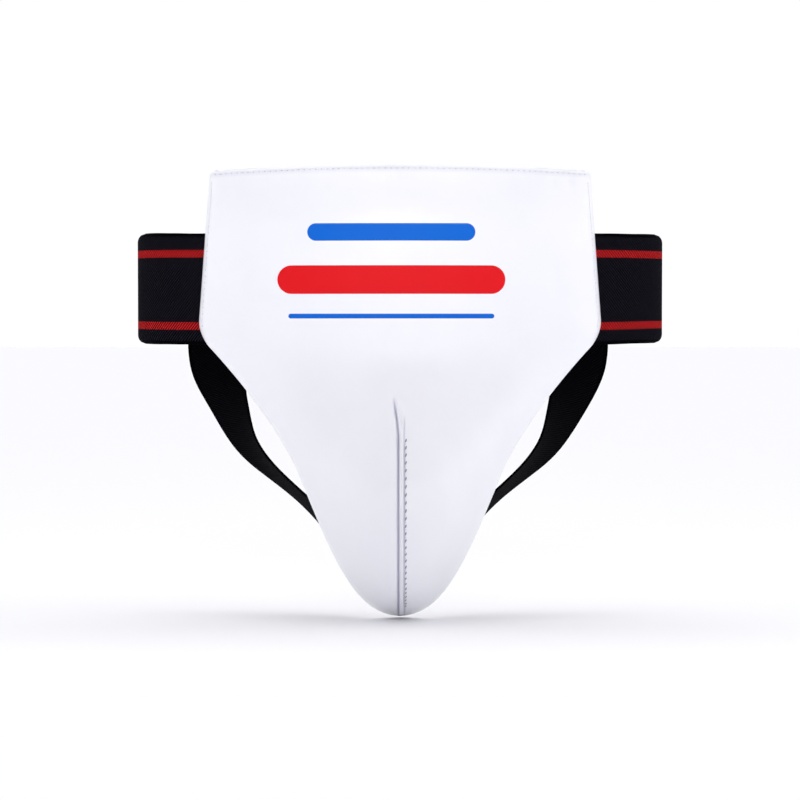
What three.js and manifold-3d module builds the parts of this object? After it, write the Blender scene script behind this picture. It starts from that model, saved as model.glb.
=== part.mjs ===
// Groin protector: a soft-covered abdomen pad that narrows into a domed cup, an elastic waistband
// with a hook-and-loop closure at the back, and two elastic leg straps.
// Millimetres. +X is to the right seen from the front, +Y runs backwards, towards the wearer, +Z up.
// The origin is the centre of the waist opening, at the middle of the waistband's height.
import * as THREE from 'three';
import { mergeVertices } from 'three/addons/utils/BufferGeometryUtils.js';
import Module from 'manifold-3d';

const wasm = await Module();
wasm.setup();

// ---- driving dimensions -------------------------------------------------------------------------
const GAP = 0.3; // clearance between pieces that touch
const LAYER_GAP = 0.8; // clearance between the curved layers of the pad

const PAD_HEIGHT = 289; // tip to the middle of the top edge
const PAD_TOP_HALF = 120.5; // half width at the top corners
const PAD_HALF = 128; // half width at the hips
const TOP_SAG = 3.5; // how far the top corners lie below the middle of the top edge
const TOP_CORNER = 4;
const HIP_CORNER = 8;
const HIP_HEIGHT = 182; // hips, above the tip
const CUP_SIDE_HALF = 61.5; // half width where the leg cut meets the cup
const CUP_SIDE_HEIGHT = 85;
const WRAP_RADIUS = 355; // of the pad around the belly
const PAD_EDGE = 6; // thickness at the sewn edge
const PAD_FILL = 7; // what the foam adds to that
const FILL_ROUND = 24; // width over which the foam rounds off at the edge
const FILL_TOP_START = 12; // flat margin below the top edge
const FILL_TOP_END = 34;
const CUP_DEPTH = 42; // how far the dome stands out in front of the pad
const CUP_START = 172; // height at which the dome begins
const DOME_HALF = 84; // half width over which the dome dies out above the leg cuts
const TAIL_DEPTH = 52; // how strongly the lower end curves back under
const TAIL_START = 100;
const TAIL_RADIUS = 105;

const COVER_WALL = 1.2;
const LINING_WALL = 1.5;
const FACE_FOAM = 4;
const CUP_WALL = 2.5;
const LINER_WALL = 2;
const CUSHION_WIDTH = 10;
const CUSHION_HEIGHT = 6;

const CUP_TOP = 152; // the hard cup's outline, above the tip
const CUP_WIDEST = 104;
const CUP_HALF = 58;
const CUP_BOTTOM = 8;
const MOUTH_TOP = 138; // the mouth of the cup, on the body side
const MOUTH_WIDEST = 100;
const MOUTH_HALF = 45;
const MOUTH_BOTTOM = 57;

const BAND_HEIGHT = 70;
const BAND_WALL = 1.8;
const BAND_LAP = 26; // how far the band's sewn end reaches in behind the pad
const BAND_CENTRE = 211; // height of the band's middle above the tip
const LOOP_HALF = 170; // half width of the waist loop at its folds
const LOOP_DEPTH = 107; // from the pad's back to the rear of the loop
const FOLD_BACK = 66; // from the pad's back to the folds
const REAR_FLAT = 70; // half length of the straight run at the back
const HINGE_GAP = 0.4; // each side of the line on which the band turns at the pad's edge
const PINCH = 0.5; // share of the elastic's thickness left at that line

const LOOP_FABRIC = 1.2;
const HOOK_FABRIC = 1.2;
const TAB_WALL = 1.6;
const TAB_LENGTH = 70; // reach over the left band
const TAB_LAP = 10; // lap sewn on the right band
const TAB_HEIGHT = 64;
const PATCH_LENGTH = 60;
const PATCH_HEIGHT = 58;

const STRAP_WIDTH = 38;
const STRAP_WALL = 1.5;
const STRAP_SEAT = 123; // distance of the strap's top end from the middle
const STRAP_LAP = 29; // overlap with the waistband
const STRAP_END_HALF = 20; // half width of the sewn-down ends at the tail
const STRAP_END_START = 3;
const ANCHOR_HEIGHT = 28;
const ANCHOR_WALL = 1.2;

const THREAD = 0.6; // thickness of a row of stitches
const THREAD_WIDTH = 1.2;
const TOP_STITCH = 2.6; // distance of the stitching from the top edge
const SEAM_STITCH = 4; // distance of the stitching from the centre seam
const SEAM_TOP = 113;
const SEAM_BOTTOM = 12;

const PAD_ROWS = Math.round(PAD_HEIGHT / 9);
const PAD_COLUMNS = 14;
const CUP_ROWS = 24;
const CUP_COLUMNS = 12;
const BAND_STEPS = 34;
const STRAP_STEPS = 30;

// ---- worked-out places --------------------------------------------------------------------------
const TIP = -BAND_CENTRE;
const PAD_BACK = -LOOP_DEPTH / 2; // y of the pad's back face in the middle
const WRAP = 0.5 / WRAP_RADIUS;
const LOOP_FACE = LOOP_DEPTH / 2 + BAND_WALL / 2; // y of the left band's outer face at the back
const LOOP_TOP = LOOP_FACE + GAP + LOOP_FABRIC;
const HOOK_TOP = LOOP_TOP + GAP + HOOK_FABRIC;
const TAB_FACE = HOOK_TOP + GAP; // y of the tab's inner face
const RIGHT_REAR = TAB_FACE - GAP - BAND_WALL / 2;
const LEFT_REAR = LOOP_DEPTH / 2;

// ---- solids -------------------------------------------------------------------------------------
class Solid {
  constructor() {
    this.positions = [];
    this.index = [];
    this.seen = new Map();
  }

  point(x, y, z) {
    const key = [x, y, z].map((value) => Math.round(value * 2000)).join();
    if (!this.seen.has(key)) {
      this.seen.set(key, this.positions.length / 3);
      this.positions.push(x, y, z);
    }
    return this.seen.get(key);
  }

  triangle(a, b, c) {
    if (a !== b && b !== c && c !== a) this.index.push(a, b, c);
  }

  quad(a, b, c, d) {
    this.triangle(a, b, c);
    this.triangle(a, c, d);
  }

  geometry() {
    const geometry = new THREE.BufferGeometry();
    geometry.setAttribute('position', new THREE.Float32BufferAttribute(this.positions, 3));
    geometry.setIndex(this.index);
    return geometry;
  }
}

function toManifold(geometry) {
  const plain = geometry.clone();
  plain.deleteAttribute('normal');
  plain.deleteAttribute('uv');
  const merged = mergeVertices(plain, 1e-4);
  const vertProperties = new Float32Array(merged.attributes.position.array);
  const triVerts = new Uint32Array(merged.index.array);
  return new wasm.Manifold(new wasm.Mesh({ numProp: 3, vertProperties, triVerts }));
}

function fromManifold(solid) {
  const mesh = solid.getMesh();
  const geometry = new THREE.BufferGeometry();
  geometry.setAttribute('position', new THREE.Float32BufferAttribute(mesh.vertProperties, 3));
  geometry.setIndex(Array.from(mesh.triVerts));
  return geometry;
}

const cut = (geometry, tool) => fromManifold(toManifold(geometry).subtract(toManifold(tool)));

// ---- outlines, as the right half from top to bottom ---------------------------------------------
function padPath() {
  const cornerZ = TIP + PAD_HEIGHT - TOP_SAG;
  const hipZ = TIP + HIP_HEIGHT;
  const path = new THREE.Path();
  path.moveTo(PAD_TOP_HALF - TOP_CORNER, cornerZ);
  path.quadraticCurveTo(PAD_TOP_HALF, cornerZ, PAD_TOP_HALF, cornerZ - TOP_CORNER);
  path.lineTo(PAD_HALF, hipZ + HIP_CORNER);
  path.quadraticCurveTo(PAD_HALF, hipZ, PAD_HALF - HIP_CORNER * 0.75, hipZ - HIP_CORNER);
  const cutZ = TIP + CUP_SIDE_HEIGHT;
  path.bezierCurveTo(PAD_HALF - 28, hipZ - 31, CUP_SIDE_HALF + 10.5, cutZ + 30, CUP_SIDE_HALF, cutZ);
  path.bezierCurveTo(CUP_SIDE_HALF - 19, cutZ - 46, CUP_SIDE_HALF / 2 - 3, TIP, 0, TIP);
  return path;
}

function eggPath(top, widest, half, bottom) {
  const path = new THREE.Path();
  path.moveTo(0, TIP + top);
  path.bezierCurveTo(half * 0.62, TIP + top, half, TIP + widest + (top - widest) * 0.6, half, TIP + widest);
  const drop = widest - bottom;
  path.bezierCurveTo(half * 0.88, TIP + widest - drop * 0.44, half * 0.52, TIP + bottom, 0, TIP + bottom);
  return path;
}

function halfOutline(path, steps, inset) {
  const outline = [];
  for (let step = 0; step <= steps; step += 1) {
    const at = path.getPointAt(step / steps);
    const along = path.getTangentAt(step / steps);
    const x = at.x + along.y * inset;
    outline.push(new THREE.Vector2(Math.max(x, 0), at.y - along.x * inset));
  }
  if (path.getPointAt(0).x < 1e-6) outline[0].x = 0;
  outline[steps].x = 0;
  return outline;
}

const PAD_OUTLINE = halfOutline(padPath(), 200, 0);

function padHalfAt(z) {
  const below = PAD_OUTLINE.findIndex((point) => point.y < z);
  if (below <= 0) return below === 0 ? PAD_TOP_HALF : 0;
  const [high, low] = [PAD_OUTLINE[below - 1], PAD_OUTLINE[below]];
  const share = (high.y - z) / (high.y - low.y);
  return high.x + (low.x - high.x) * share;
}

// ---- the pad's two faces ------------------------------------------------------------------------
function padBack(x, z) {
  const height = z - TIP;
  const under = Math.max(0, (TAIL_START - height) / TAIL_RADIUS);
  const tail = TAIL_DEPTH * (1 - Math.sqrt(Math.max(0, 1 - under * under)));
  return PAD_BACK + WRAP * x * x + tail;
}

function round(distance, width) {
  const share = Math.min(Math.max(distance / width, 0), 1);
  return Math.sin((share * Math.PI) / 2);
}

function padThickness(x, z) {
  const height = z - TIP;
  const half = padHalfAt(z);
  const side = round(half - Math.abs(x), FILL_ROUND);
  const foot = round(height, FILL_ROUND);
  const top = THREE.MathUtils.smoothstep(PAD_HEIGHT - height, FILL_TOP_START, FILL_TOP_END);
  const rise = 1 - THREE.MathUtils.smoothstep(height, CUP_SIDE_HEIGHT, CUP_START);
  const fall = Math.max(0, 1 - (Math.min(height, CUP_SIDE_HEIGHT) / CUP_SIDE_HEIGHT - 1) ** 2);
  const across = Math.max(0, 1 - (x / Math.max(Math.min(half, DOME_HALF), 1)) ** 2);
  const shoulder = 1 + 0.4 * THREE.MathUtils.smoothstep(height, CUP_SIDE_HEIGHT * 0.8, CUP_START * 0.7);
  return PAD_EDGE + PAD_FILL * side * foot * top + CUP_DEPTH * rise * fall ** 0.7 * across ** shoulder;
}

const padFront = (x, z) => padBack(x, z) - padThickness(x, z);
const cupFace = (x, z) => padFront(x, z) + COVER_WALL + FACE_FOAM + 2 * LAYER_GAP;
const liningFace = (x, z) => padBack(x, z) - LINING_WALL;

// ---- layers: a grid of points over an outline, at a depth given by a function -------------------
function layer(solid, outline, columns, depth) {
  const top = outline[0];
  return outline.map((edge) => {
    const row = [];
    for (let column = 0; column <= columns; column += 1) {
      const across = (2 * column) / columns - 1;
      const fade = top.x > 0 ? Math.max(0, 1 - (top.y - edge.y) / (PAD_HEIGHT * 0.3)) : 0;
      const x = across * edge.x;
      const z = edge.y + TOP_SAG * fade * (1 - across * across);
      row.push({ x, z, at: solid.point(x, depth(x, z), z) });
    }
    return row;
  });
}

function rimOf(rows) {
  const last = rows.length - 1;
  const columns = rows[0].length - 1;
  const rim = rows[0].slice();
  for (let row = 1; row <= last; row += 1) rim.push(rows[row][columns]);
  for (let row = last - 1; row > 0; row -= 1) rim.push(rows[row][0]);
  return rim;
}

function fillGrid(solid, rows, facesFront) {
  for (let row = 1; row < rows.length; row += 1) {
    for (let column = 1; column < rows[0].length; column += 1) {
      const corners = [
        rows[row - 1][column - 1],
        rows[row][column - 1],
        rows[row][column],
        rows[row - 1][column],
      ].map((corner) => corner.at);
      // The diagonals mirror each other across the middle, and match on both faces of a layer.
      if (2 * column < rows[0].length) corners.push(corners.shift());
      const [a, b, c, d] = corners;
      if (facesFront) solid.quad(a, b, c, d);
      else solid.quad(a, d, c, b);
    }
  }
}

function band(solid, first, second) {
  for (let step = 0; step < first.length; step += 1) {
    const next = (step + 1) % first.length;
    solid.quad(first[step].at, first[next].at, second[next].at, second[step].at);
  }
}

// A solid between two depths over one outline.
function slab(outline, columns, front, back) {
  const solid = new Solid();
  const near = layer(solid, outline, columns, front);
  const far = layer(solid, outline, columns, back);
  fillGrid(solid, near, true);
  fillGrid(solid, far, false);
  band(solid, rimOf(near), rimOf(far));
  return solid.geometry();
}

// A dish that is open towards the body: a face, and a wall around it.
function dish(path, rows, columns, inset, wall, face, back) {
  const solid = new Solid();
  const outer = halfOutline(path, rows, inset);
  const inner = halfOutline(path, rows, inset + wall);
  const outside = layer(solid, outer, columns, face);
  const inside = layer(solid, inner, columns, (x, z) => face(x, z) + wall);
  const outerRim = rimOf(layer(solid, outer, columns, back));
  const innerRim = rimOf(layer(solid, inner, columns, back));
  fillGrid(solid, outside, true);
  fillGrid(solid, inside, false);
  band(solid, rimOf(outside), outerRim);
  band(solid, outerRim, innerRim);
  band(solid, innerRim, rimOf(inside));
  return solid.geometry();
}

// A straight-sided plug through the pad, over an egg outline.
function plug(path, inset) {
  return slab(halfOutline(path, CUP_ROWS, inset), 4, () => PAD_BACK - 200, () => PAD_BACK + 200);
}

// ---- ribbons: a flat section carried along stations ---------------------------------------------
// Each station is { at, across, facing, width, wall }, with across and facing unit vectors.
function ribbon(stations) {
  const solid = new Solid();
  const rings = stations.map(({ at, across, facing, width, wall }) =>
    [
      [-1, -1],
      [1, -1],
      [1, 1],
      [-1, 1],
    ].map(([side, face]) => {
      const corner = at
        .clone()
        .addScaledVector(across, (side * width) / 2)
        .addScaledVector(facing, (face * wall) / 2);
      return solid.point(corner.x, corner.y, corner.z);
    })
  );
  for (let step = 1; step < rings.length; step += 1) {
    for (let side = 0; side < 4; side += 1) {
      const next = (side + 1) % 4;
      const corners = [rings[step - 1][side], rings[step - 1][next], rings[step][next], rings[step][side]];
      // The diagonals match on both faces, so a twisted ribbon keeps its thickness.
      if (side === 2) corners.push(corners.shift());
      solid.quad(...corners);
    }
  }
  const [first, last] = [rings[0], rings[rings.length - 1]];
  solid.quad(first[3], first[2], first[1], first[0]);
  solid.quad(last[0], last[1], last[2], last[3]);
  const geometry = solid.geometry();
  if (toManifold(geometry).volume() < 0) {
    for (let corner = 0; corner < solid.index.length; corner += 3) {
      const kept = solid.index[corner];
      solid.index[corner] = solid.index[corner + 1];
      solid.index[corner + 1] = kept;
    }
    geometry.setIndex(solid.index);
  }
  return geometry;
}

// ---- pad ----------------------------------------------------------------------------------------
const frontCover = () => dish(padPath(), PAD_ROWS, PAD_COLUMNS, 0, COVER_WALL, padFront, padBack);

const cupPath = () => eggPath(CUP_TOP, CUP_WIDEST, CUP_HALF, CUP_BOTTOM);
const mouthPath = () => eggPath(MOUTH_TOP, MOUTH_WIDEST, MOUTH_HALF, MOUTH_BOTTOM);

function padFoam() {
  const outline = halfOutline(padPath(), PAD_ROWS, COVER_WALL + LAYER_GAP);
  const front = (x, z) => padFront(x, z) + COVER_WALL + LAYER_GAP;
  const back = (x, z) => liningFace(x, z) - LAYER_GAP;
  return cut(slab(outline, PAD_COLUMNS, front, back), plug(cupPath(), -LAYER_GAP));
}

function rearLining() {
  const outline = halfOutline(padPath(), PAD_ROWS, COVER_WALL + LAYER_GAP);
  return cut(slab(outline, PAD_COLUMNS, liningFace, padBack), plug(mouthPath(), 0));
}

function cupFaceFoam() {
  const front = (x, z) => padFront(x, z) + COVER_WALL + LAYER_GAP;
  const back = (x, z) => cupFace(x, z) - LAYER_GAP;
  return slab(halfOutline(cupPath(), CUP_ROWS, LAYER_GAP), CUP_COLUMNS, front, back);
}

function hardCup() {
  const back = (x, z) => liningFace(x, z) - LAYER_GAP;
  return dish(cupPath(), CUP_ROWS, CUP_COLUMNS, LAYER_GAP, CUP_WALL, cupFace, back);
}

function cupLiner() {
  const face = (x, z) => cupFace(x, z) + CUP_WALL + LAYER_GAP;
  const back = (x, z) => liningFace(x, z) - LAYER_GAP;
  const inset = 2 * LAYER_GAP + CUP_WALL;
  return dish(cupPath(), CUP_ROWS, CUP_COLUMNS, inset, LINER_WALL, face, back);
}

// The bead around the mouth: a rounded section carried around the egg outline.
function rimCushion() {
  const solid = new Solid();
  const section = [
    [0, 0],
    [0, 0.65],
    [0.25, 1],
    [0.75, 1],
    [1, 0.65],
    [1, 0],
  ];
  const rims = section.map(([out, up]) => {
    const outline = halfOutline(mouthPath(), CUP_ROWS, -out * CUSHION_WIDTH);
    const right = outline.map((edge) => [edge.x, edge.y]);
    const left = outline.slice(1, -1).reverse().map((edge) => [-edge.x, edge.y]);
    return [...right, ...left].map(([x, z]) => {
      const y = padBack(x, z) + LAYER_GAP + up * CUSHION_HEIGHT;
      return { at: solid.point(x, y, z) };
    });
  });
  rims.forEach((rim, step) => band(solid, rims[(step + 1) % rims.length], rim));
  return solid.geometry();
}

// ---- stitching on the pad -----------------------------------------------------------------------
function topThread() {
  const stations = [];
  const steps = 24;
  const reach = PAD_TOP_HALF - TOP_CORNER;
  for (let step = 0; step <= steps; step += 1) {
    const x = ((2 * step) / steps - 1) * reach;
    const z = TIP + PAD_HEIGHT - TOP_SAG * (x / reach) ** 2 - TOP_STITCH;
    const at = new THREE.Vector3(x, padFront(x, z) - GAP - THREAD / 2, z);
    const across = new THREE.Vector3(0, 0, 1);
    stations.push({ at, across, facing: new THREE.Vector3(0, 1, 0), width: THREAD_WIDTH, wall: THREAD });
  }
  return ribbon(stations);
}

function seamThread() {
  const stations = [];
  const steps = 16;
  for (let step = 0; step <= steps; step += 1) {
    const z = TIP + SEAM_TOP + ((SEAM_BOTTOM - SEAM_TOP) * step) / steps;
    const slope = padFront(SEAM_STITCH, z + 1) - padFront(SEAM_STITCH, z - 1);
    const facing = new THREE.Vector3(0, -1, slope / 2).normalize();
    const at = new THREE.Vector3(SEAM_STITCH, padFront(SEAM_STITCH, z), z);
    at.addScaledVector(facing, GAP + THREAD / 2);
    stations.push({ at, across: new THREE.Vector3(1, 0, 0), facing, width: THREAD_WIDTH, wall: THREAD });
  }
  return ribbon(stations);
}

// ---- waistband ----------------------------------------------------------------------------------
// Plan view of the right half: along the pad's back, out past its edge, around the fold, to the middle.
const BAND_OFFSET = GAP + BAND_WALL / 2;
const padRun = (x) => PAD_BACK + WRAP * x * x + BAND_OFFSET;
const HINGE_X = PAD_HALF + GAP;
const HINGE_Y = padRun(HINGE_X);

function sewnRun() {
  const start = HINGE_X - HINGE_GAP - BAND_LAP;
  const end = HINGE_X - HINGE_GAP;
  const path = new THREE.Path();
  path.moveTo(start, padRun(start));
  const middle = (start + end) / 2;
  path.quadraticCurveTo(middle, padRun(start) + WRAP * start * (end - start), end, padRun(end));
  return path;
}

function freeRun(rear) {
  const path = new THREE.Path();
  const slope = 2 * WRAP * HINGE_X;
  const start = HINGE_X + HINGE_GAP;
  const startY = HINGE_Y + slope * HINGE_GAP;
  const foldY = PAD_BACK + FOLD_BACK;
  const reach = LOOP_HALF - start;
  path.moveTo(start, startY);
  path.bezierCurveTo(start + reach * 0.5, startY + slope * reach * 0.5, LOOP_HALF, foldY - 20, LOOP_HALF, foldY);
  path.bezierCurveTo(LOOP_HALF, foldY + 27, REAR_FLAT + 52, rear, REAR_FLAT, rear);
  path.lineTo(HINGE_GAP, rear);
  return path;
}

function bandStations(path, steps, side, height, wall, pinchStart, pinchEnd) {
  const stations = [];
  for (let step = 0; step <= steps; step += 1) {
    const at = path.getPointAt(step / steps);
    const along = path.getTangentAt(step / steps);
    const pinched = (pinchStart && step === 0) || (pinchEnd && step === steps);
    stations.push({
      at: new THREE.Vector3(side * at.x, at.y, 0),
      across: new THREE.Vector3(0, 0, 1),
      facing: new THREE.Vector3(side * along.y, -along.x, 0),
      width: height,
      wall: pinched ? wall * PINCH : wall,
    });
  }
  return stations;
}

const bandEnd = (side) => ribbon(bandStations(sewnRun(), 6, side, BAND_HEIGHT, BAND_WALL, false, true));

function waistband(side) {
  const rear = side > 0 ? RIGHT_REAR : LEFT_REAR;
  return ribbon(bandStations(freeRun(rear), BAND_STEPS, side, BAND_HEIGHT, BAND_WALL, true, false));
}

function bandSeam(side) {
  const x = HINGE_X - BAND_LAP * 0.6;
  const slope = 2 * WRAP * x;
  const facing = new THREE.Vector3(-side * slope, 1, 0).normalize();
  const at = new THREE.Vector3(side * x, padRun(x), 0);
  at.addScaledVector(facing, BAND_WALL / 2 + GAP + THREAD / 2);
  const across = new THREE.Vector3().crossVectors(facing, new THREE.Vector3(0, 0, 1));
  const reach = BAND_HEIGHT / 2 - 3;
  const stations = [-reach, reach].map((z) => ({
    at: at.clone().setZ(z),
    across,
    facing,
    width: THREAD_WIDTH,
    wall: THREAD,
  }));
  return ribbon(stations);
}

// ---- closure ------------------------------------------------------------------------------------
function flatPiece(xStart, xEnd, yStart, wall, height) {
  const geometry = new THREE.BoxGeometry(Math.abs(xEnd - xStart), wall, height);
  geometry.translate((xStart + xEnd) / 2, yStart + wall / 2, 0);
  return geometry;
}

const closureTab = () => flatPiece(TAB_LAP, -TAB_LENGTH, TAB_FACE, TAB_WALL, TAB_HEIGHT);
const patchStart = (TAB_LENGTH - PATCH_LENGTH) / 2;
const hookPatch = () =>
  flatPiece(-patchStart, -patchStart - PATCH_LENGTH, LOOP_TOP + GAP, HOOK_FABRIC, PATCH_HEIGHT);
const loopPatch = () =>
  flatPiece(-patchStart, -patchStart - PATCH_LENGTH, LOOP_FACE + GAP, LOOP_FABRIC, PATCH_HEIGHT);

// ---- leg straps ---------------------------------------------------------------------------------
// Where the strap's top end lies on the outer face of the band's rear run.
function strapSeat(side) {
  const path = freeRun(side > 0 ? RIGHT_REAR : LEFT_REAR);
  let share = 0.35;
  while (share < 0.99 && path.getPointAt(share).x > STRAP_SEAT) share += 0.002;
  const at = path.getPointAt(share);
  const along = path.getTangentAt(share);
  const outward = new THREE.Vector3(side * along.y, -along.x, 0);
  const seat = new THREE.Vector3(side * at.x, at.y, 0);
  seat.addScaledVector(outward, BAND_WALL / 2 + GAP + STRAP_WALL / 2);
  return { seat, outward, across: new THREE.Vector3(side * along.x, along.y, 0) };
}

// The tail's back face, as a chord from its upper to its lower edge.
const TAIL_MIDDLE = 28.5;
const TAIL_LOW = TAIL_MIDDLE - STRAP_WIDTH * 0.434;
const TAIL_HIGH = TAIL_MIDDLE + STRAP_WIDTH * 0.434;
function tailSeat(x, lift) {
  const low = new THREE.Vector3(x, padBack(x, TIP + TAIL_LOW), TIP + TAIL_LOW);
  const high = new THREE.Vector3(x, padBack(x, TIP + TAIL_HIGH), TIP + TAIL_HIGH);
  const across = high.clone().sub(low).normalize();
  const outward = new THREE.Vector3(0, across.z, -across.y);
  const at = low.add(high).multiplyScalar(0.5).addScaledVector(outward, lift);
  return { at, across, outward };
}

const TAIL_LIFT = LAYER_GAP + GAP + STRAP_WALL / 2;

function strapEnd(side) {
  const xs = [STRAP_END_START, STRAP_END_HALF / 2, STRAP_END_HALF - HINGE_GAP];
  const stations = xs.map((x) => {
    const { at, across, outward } = tailSeat(side * x, TAIL_LIFT);
    return { at, across, facing: outward, width: STRAP_WIDTH, wall: STRAP_WALL };
  });
  return ribbon(stations);
}

// The free strap: from the tail out and up behind the thigh, turning over to lie flat on the band.
function legStrap(side) {
  const { seat, across: topAcross } = strapSeat(side);
  const foot = tailSeat(side * (STRAP_END_HALF + HINGE_GAP), TAIL_LIFT);
  const bandLow = -BAND_HEIGHT / 2;
  const next = tailSeat(side * (STRAP_END_HALF + 4), TAIL_LIFT + 2 * GAP);
  const seatAt = (z) => seat.clone().setZ(bandLow + z);
  const route = [
    [foot.at, foot.across],
    [next.at, next.across],
    [new THREE.Vector3(side * 32, foot.at.y + 8, TIP + 36), new THREE.Vector3(0, -0.72, 0.7)],
    [new THREE.Vector3(side * 44, foot.at.y + 19, TIP + 51), new THREE.Vector3(side * -0.05, -0.93, 0.36)],
    [new THREE.Vector3(side * 63, foot.at.y + 33, TIP + 71), new THREE.Vector3(side * -0.12, -0.98, 0.12)],
    [new THREE.Vector3(side * 88, foot.at.y + 51, TIP + 95), new THREE.Vector3(side * -0.3, -0.95, 0.05)],
    [new THREE.Vector3(side * 101, foot.at.y + 63, TIP + 111), new THREE.Vector3(side * -0.46, -0.88, 0)],
    [new THREE.Vector3(side * 114, foot.at.y + 76, TIP + 134), new THREE.Vector3(side * -0.7, -0.7, 0)],
    [new THREE.Vector3(side * 120.5, seat.y - 3, TIP + 153), new THREE.Vector3(side * -0.9, -0.35, 0)],
    [seatAt(-8), topAcross],
    [seatAt(2), topAcross],
    [seatAt(STRAP_LAP), topAcross],
  ];
  const spine = new THREE.CatmullRomCurve3(route.map(([at]) => at), false, 'centripetal');
  const turn = new THREE.CatmullRomCurve3(route.map(([, across]) => across), false, 'centripetal');
  const stations = [];
  for (let step = 0; step <= STRAP_STEPS; step += 1) {
    const share = step / STRAP_STEPS;
    const along = spine.getTangent(share);
    const across = turn.getPoint(share);
    across.addScaledVector(along, -across.dot(along)).normalize();
    const facing = new THREE.Vector3().crossVectors(across, along).normalize();
    stations.push({ at: spine.getPoint(share), across, facing, width: STRAP_WIDTH, wall: STRAP_WALL });
  }
  return ribbon(stations);
}

function strapAnchor() {
  const lift = TAIL_LIFT + STRAP_WALL / 2 + GAP + ANCHOR_WALL / 2;
  const reach = STRAP_END_HALF - 2;
  const stations = [-reach, 0, reach].map((x) => {
    const { at, across, outward } = tailSeat(Math.max(Math.abs(x), 1), lift);
    at.x = x;
    return { at, across, facing: outward, width: ANCHOR_HEIGHT, wall: ANCHOR_WALL };
  });
  return ribbon(stations);
}

// A square of stitching on the strap's top end.
function strapSeam(side) {
  const { seat, outward, across } = strapSeat(side);
  const wide = STRAP_WIDTH - 10;
  const high = STRAP_LAP - 9;
  const frame = new THREE.BoxGeometry(wide, THREAD, high);
  const hole = new THREE.BoxGeometry(wide - 2 * THREAD_WIDTH, THREAD * 3, high - 2 * THREAD_WIDTH);
  const geometry = cut(frame, hole);
  const basis = new THREE.Matrix4().makeBasis(
    across.clone().multiplyScalar(-side),
    outward.clone(),
    new THREE.Vector3(0, 0, 1)
  );
  const at = seat.clone().addScaledVector(outward, STRAP_WALL / 2 + GAP + THREAD / 2);
  at.z = -BAND_HEIGHT / 2 + STRAP_LAP / 2 + 1.5;
  geometry.applyMatrix4(basis.setPosition(at));
  return geometry;
}

// ---- assembly -----------------------------------------------------------------------------------
const FINISHES = {
  coated_fabric: { color: 0xf4f5fa, roughness: 0.42, metalness: 0 },
  lining_fabric: { color: 0xe9eaee, roughness: 0.85, metalness: 0 },
  foam: { color: 0xf1efe6, roughness: 0.95, metalness: 0 },
  moulded_plastic: { color: 0xf6f6f4, roughness: 0.35, metalness: 0 },
  elastic: { color: 0x15131a, roughness: 0.9, metalness: 0 },
  thread: { color: 0xf7f7f9, roughness: 0.7, metalness: 0 },
  dark_thread: { color: 0x1b1a20, roughness: 0.7, metalness: 0 },
  hook_and_loop: { color: 0x101014, roughness: 0.95, metalness: 0 },
};

const model = new THREE.Group();

function add(name, finish, geometry) {
  const mesh = new THREE.Mesh(geometry, new THREE.MeshStandardMaterial(FINISHES[finish]));
  mesh.name = name;
  model.add(mesh);
}

add('front_cover', 'coated_fabric', frontCover());
add('rear_lining', 'lining_fabric', rearLining());
add('pad_foam', 'foam', padFoam());
add('cup_face_foam', 'foam', cupFaceFoam());
add('hard_cup', 'moulded_plastic', hardCup());
add('cup_liner', 'lining_fabric', cupLiner());
add('rim_cushion', 'coated_fabric', rimCushion());
add('top_edge_thread', 'thread', topThread());
add('centre_seam_thread', 'thread', seamThread());
add('strap_anchor', 'coated_fabric', strapAnchor());
for (const [name, side] of [['right', 1], ['left', -1]]) {
  add(`band_end_${name}`, 'elastic', bandEnd(side));
  add(`waistband_${name}`, 'elastic', waistband(side));
  add(`band_seam_${name}`, 'dark_thread', bandSeam(side));
  add(`strap_end_${name}`, 'elastic', strapEnd(side));
  add(`leg_strap_${name}`, 'elastic', legStrap(side));
  add(`strap_seam_${name}`, 'dark_thread', strapSeam(side));
}
add('closure_tab', 'elastic', closureTab());
add('hook_patch', 'hook_and_loop', hookPatch());
add('loop_patch', 'hook_and_loop', loopPatch());

export default model;
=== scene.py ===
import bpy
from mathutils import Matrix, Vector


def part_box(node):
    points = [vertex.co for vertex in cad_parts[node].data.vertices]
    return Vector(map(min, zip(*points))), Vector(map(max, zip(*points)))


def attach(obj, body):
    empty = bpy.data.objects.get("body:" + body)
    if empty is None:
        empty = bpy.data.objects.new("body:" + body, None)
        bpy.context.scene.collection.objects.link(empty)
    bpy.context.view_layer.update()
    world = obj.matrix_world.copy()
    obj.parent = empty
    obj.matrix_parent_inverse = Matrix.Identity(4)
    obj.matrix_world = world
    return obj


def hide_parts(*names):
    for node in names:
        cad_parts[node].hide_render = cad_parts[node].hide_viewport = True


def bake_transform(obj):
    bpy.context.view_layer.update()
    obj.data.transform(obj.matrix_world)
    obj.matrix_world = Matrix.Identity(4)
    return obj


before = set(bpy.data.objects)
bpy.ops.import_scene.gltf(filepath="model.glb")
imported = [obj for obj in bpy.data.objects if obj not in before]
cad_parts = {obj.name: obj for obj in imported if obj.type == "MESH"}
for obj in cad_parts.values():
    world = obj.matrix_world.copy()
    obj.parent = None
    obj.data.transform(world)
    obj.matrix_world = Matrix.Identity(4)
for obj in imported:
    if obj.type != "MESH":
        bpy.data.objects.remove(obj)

"""A groin protector's looks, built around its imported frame.

Metres. +X is to the right seen from the front, +Y runs backwards, towards the wearer, +Z up.
Each sub-assembly is a class that holds its sizes and builds and dresses its pieces.
"""
import logging
import math
from dataclasses import dataclass, field
from enum import Enum
from typing import Callable, Sequence

import bpy
import numpy as np
from mathutils import Vector, noise

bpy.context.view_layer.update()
MM = 0.001
# Points closer than this are one point.
MERGE = 0.02 * MM
log = logging.getLogger("groin_protector")

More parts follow.
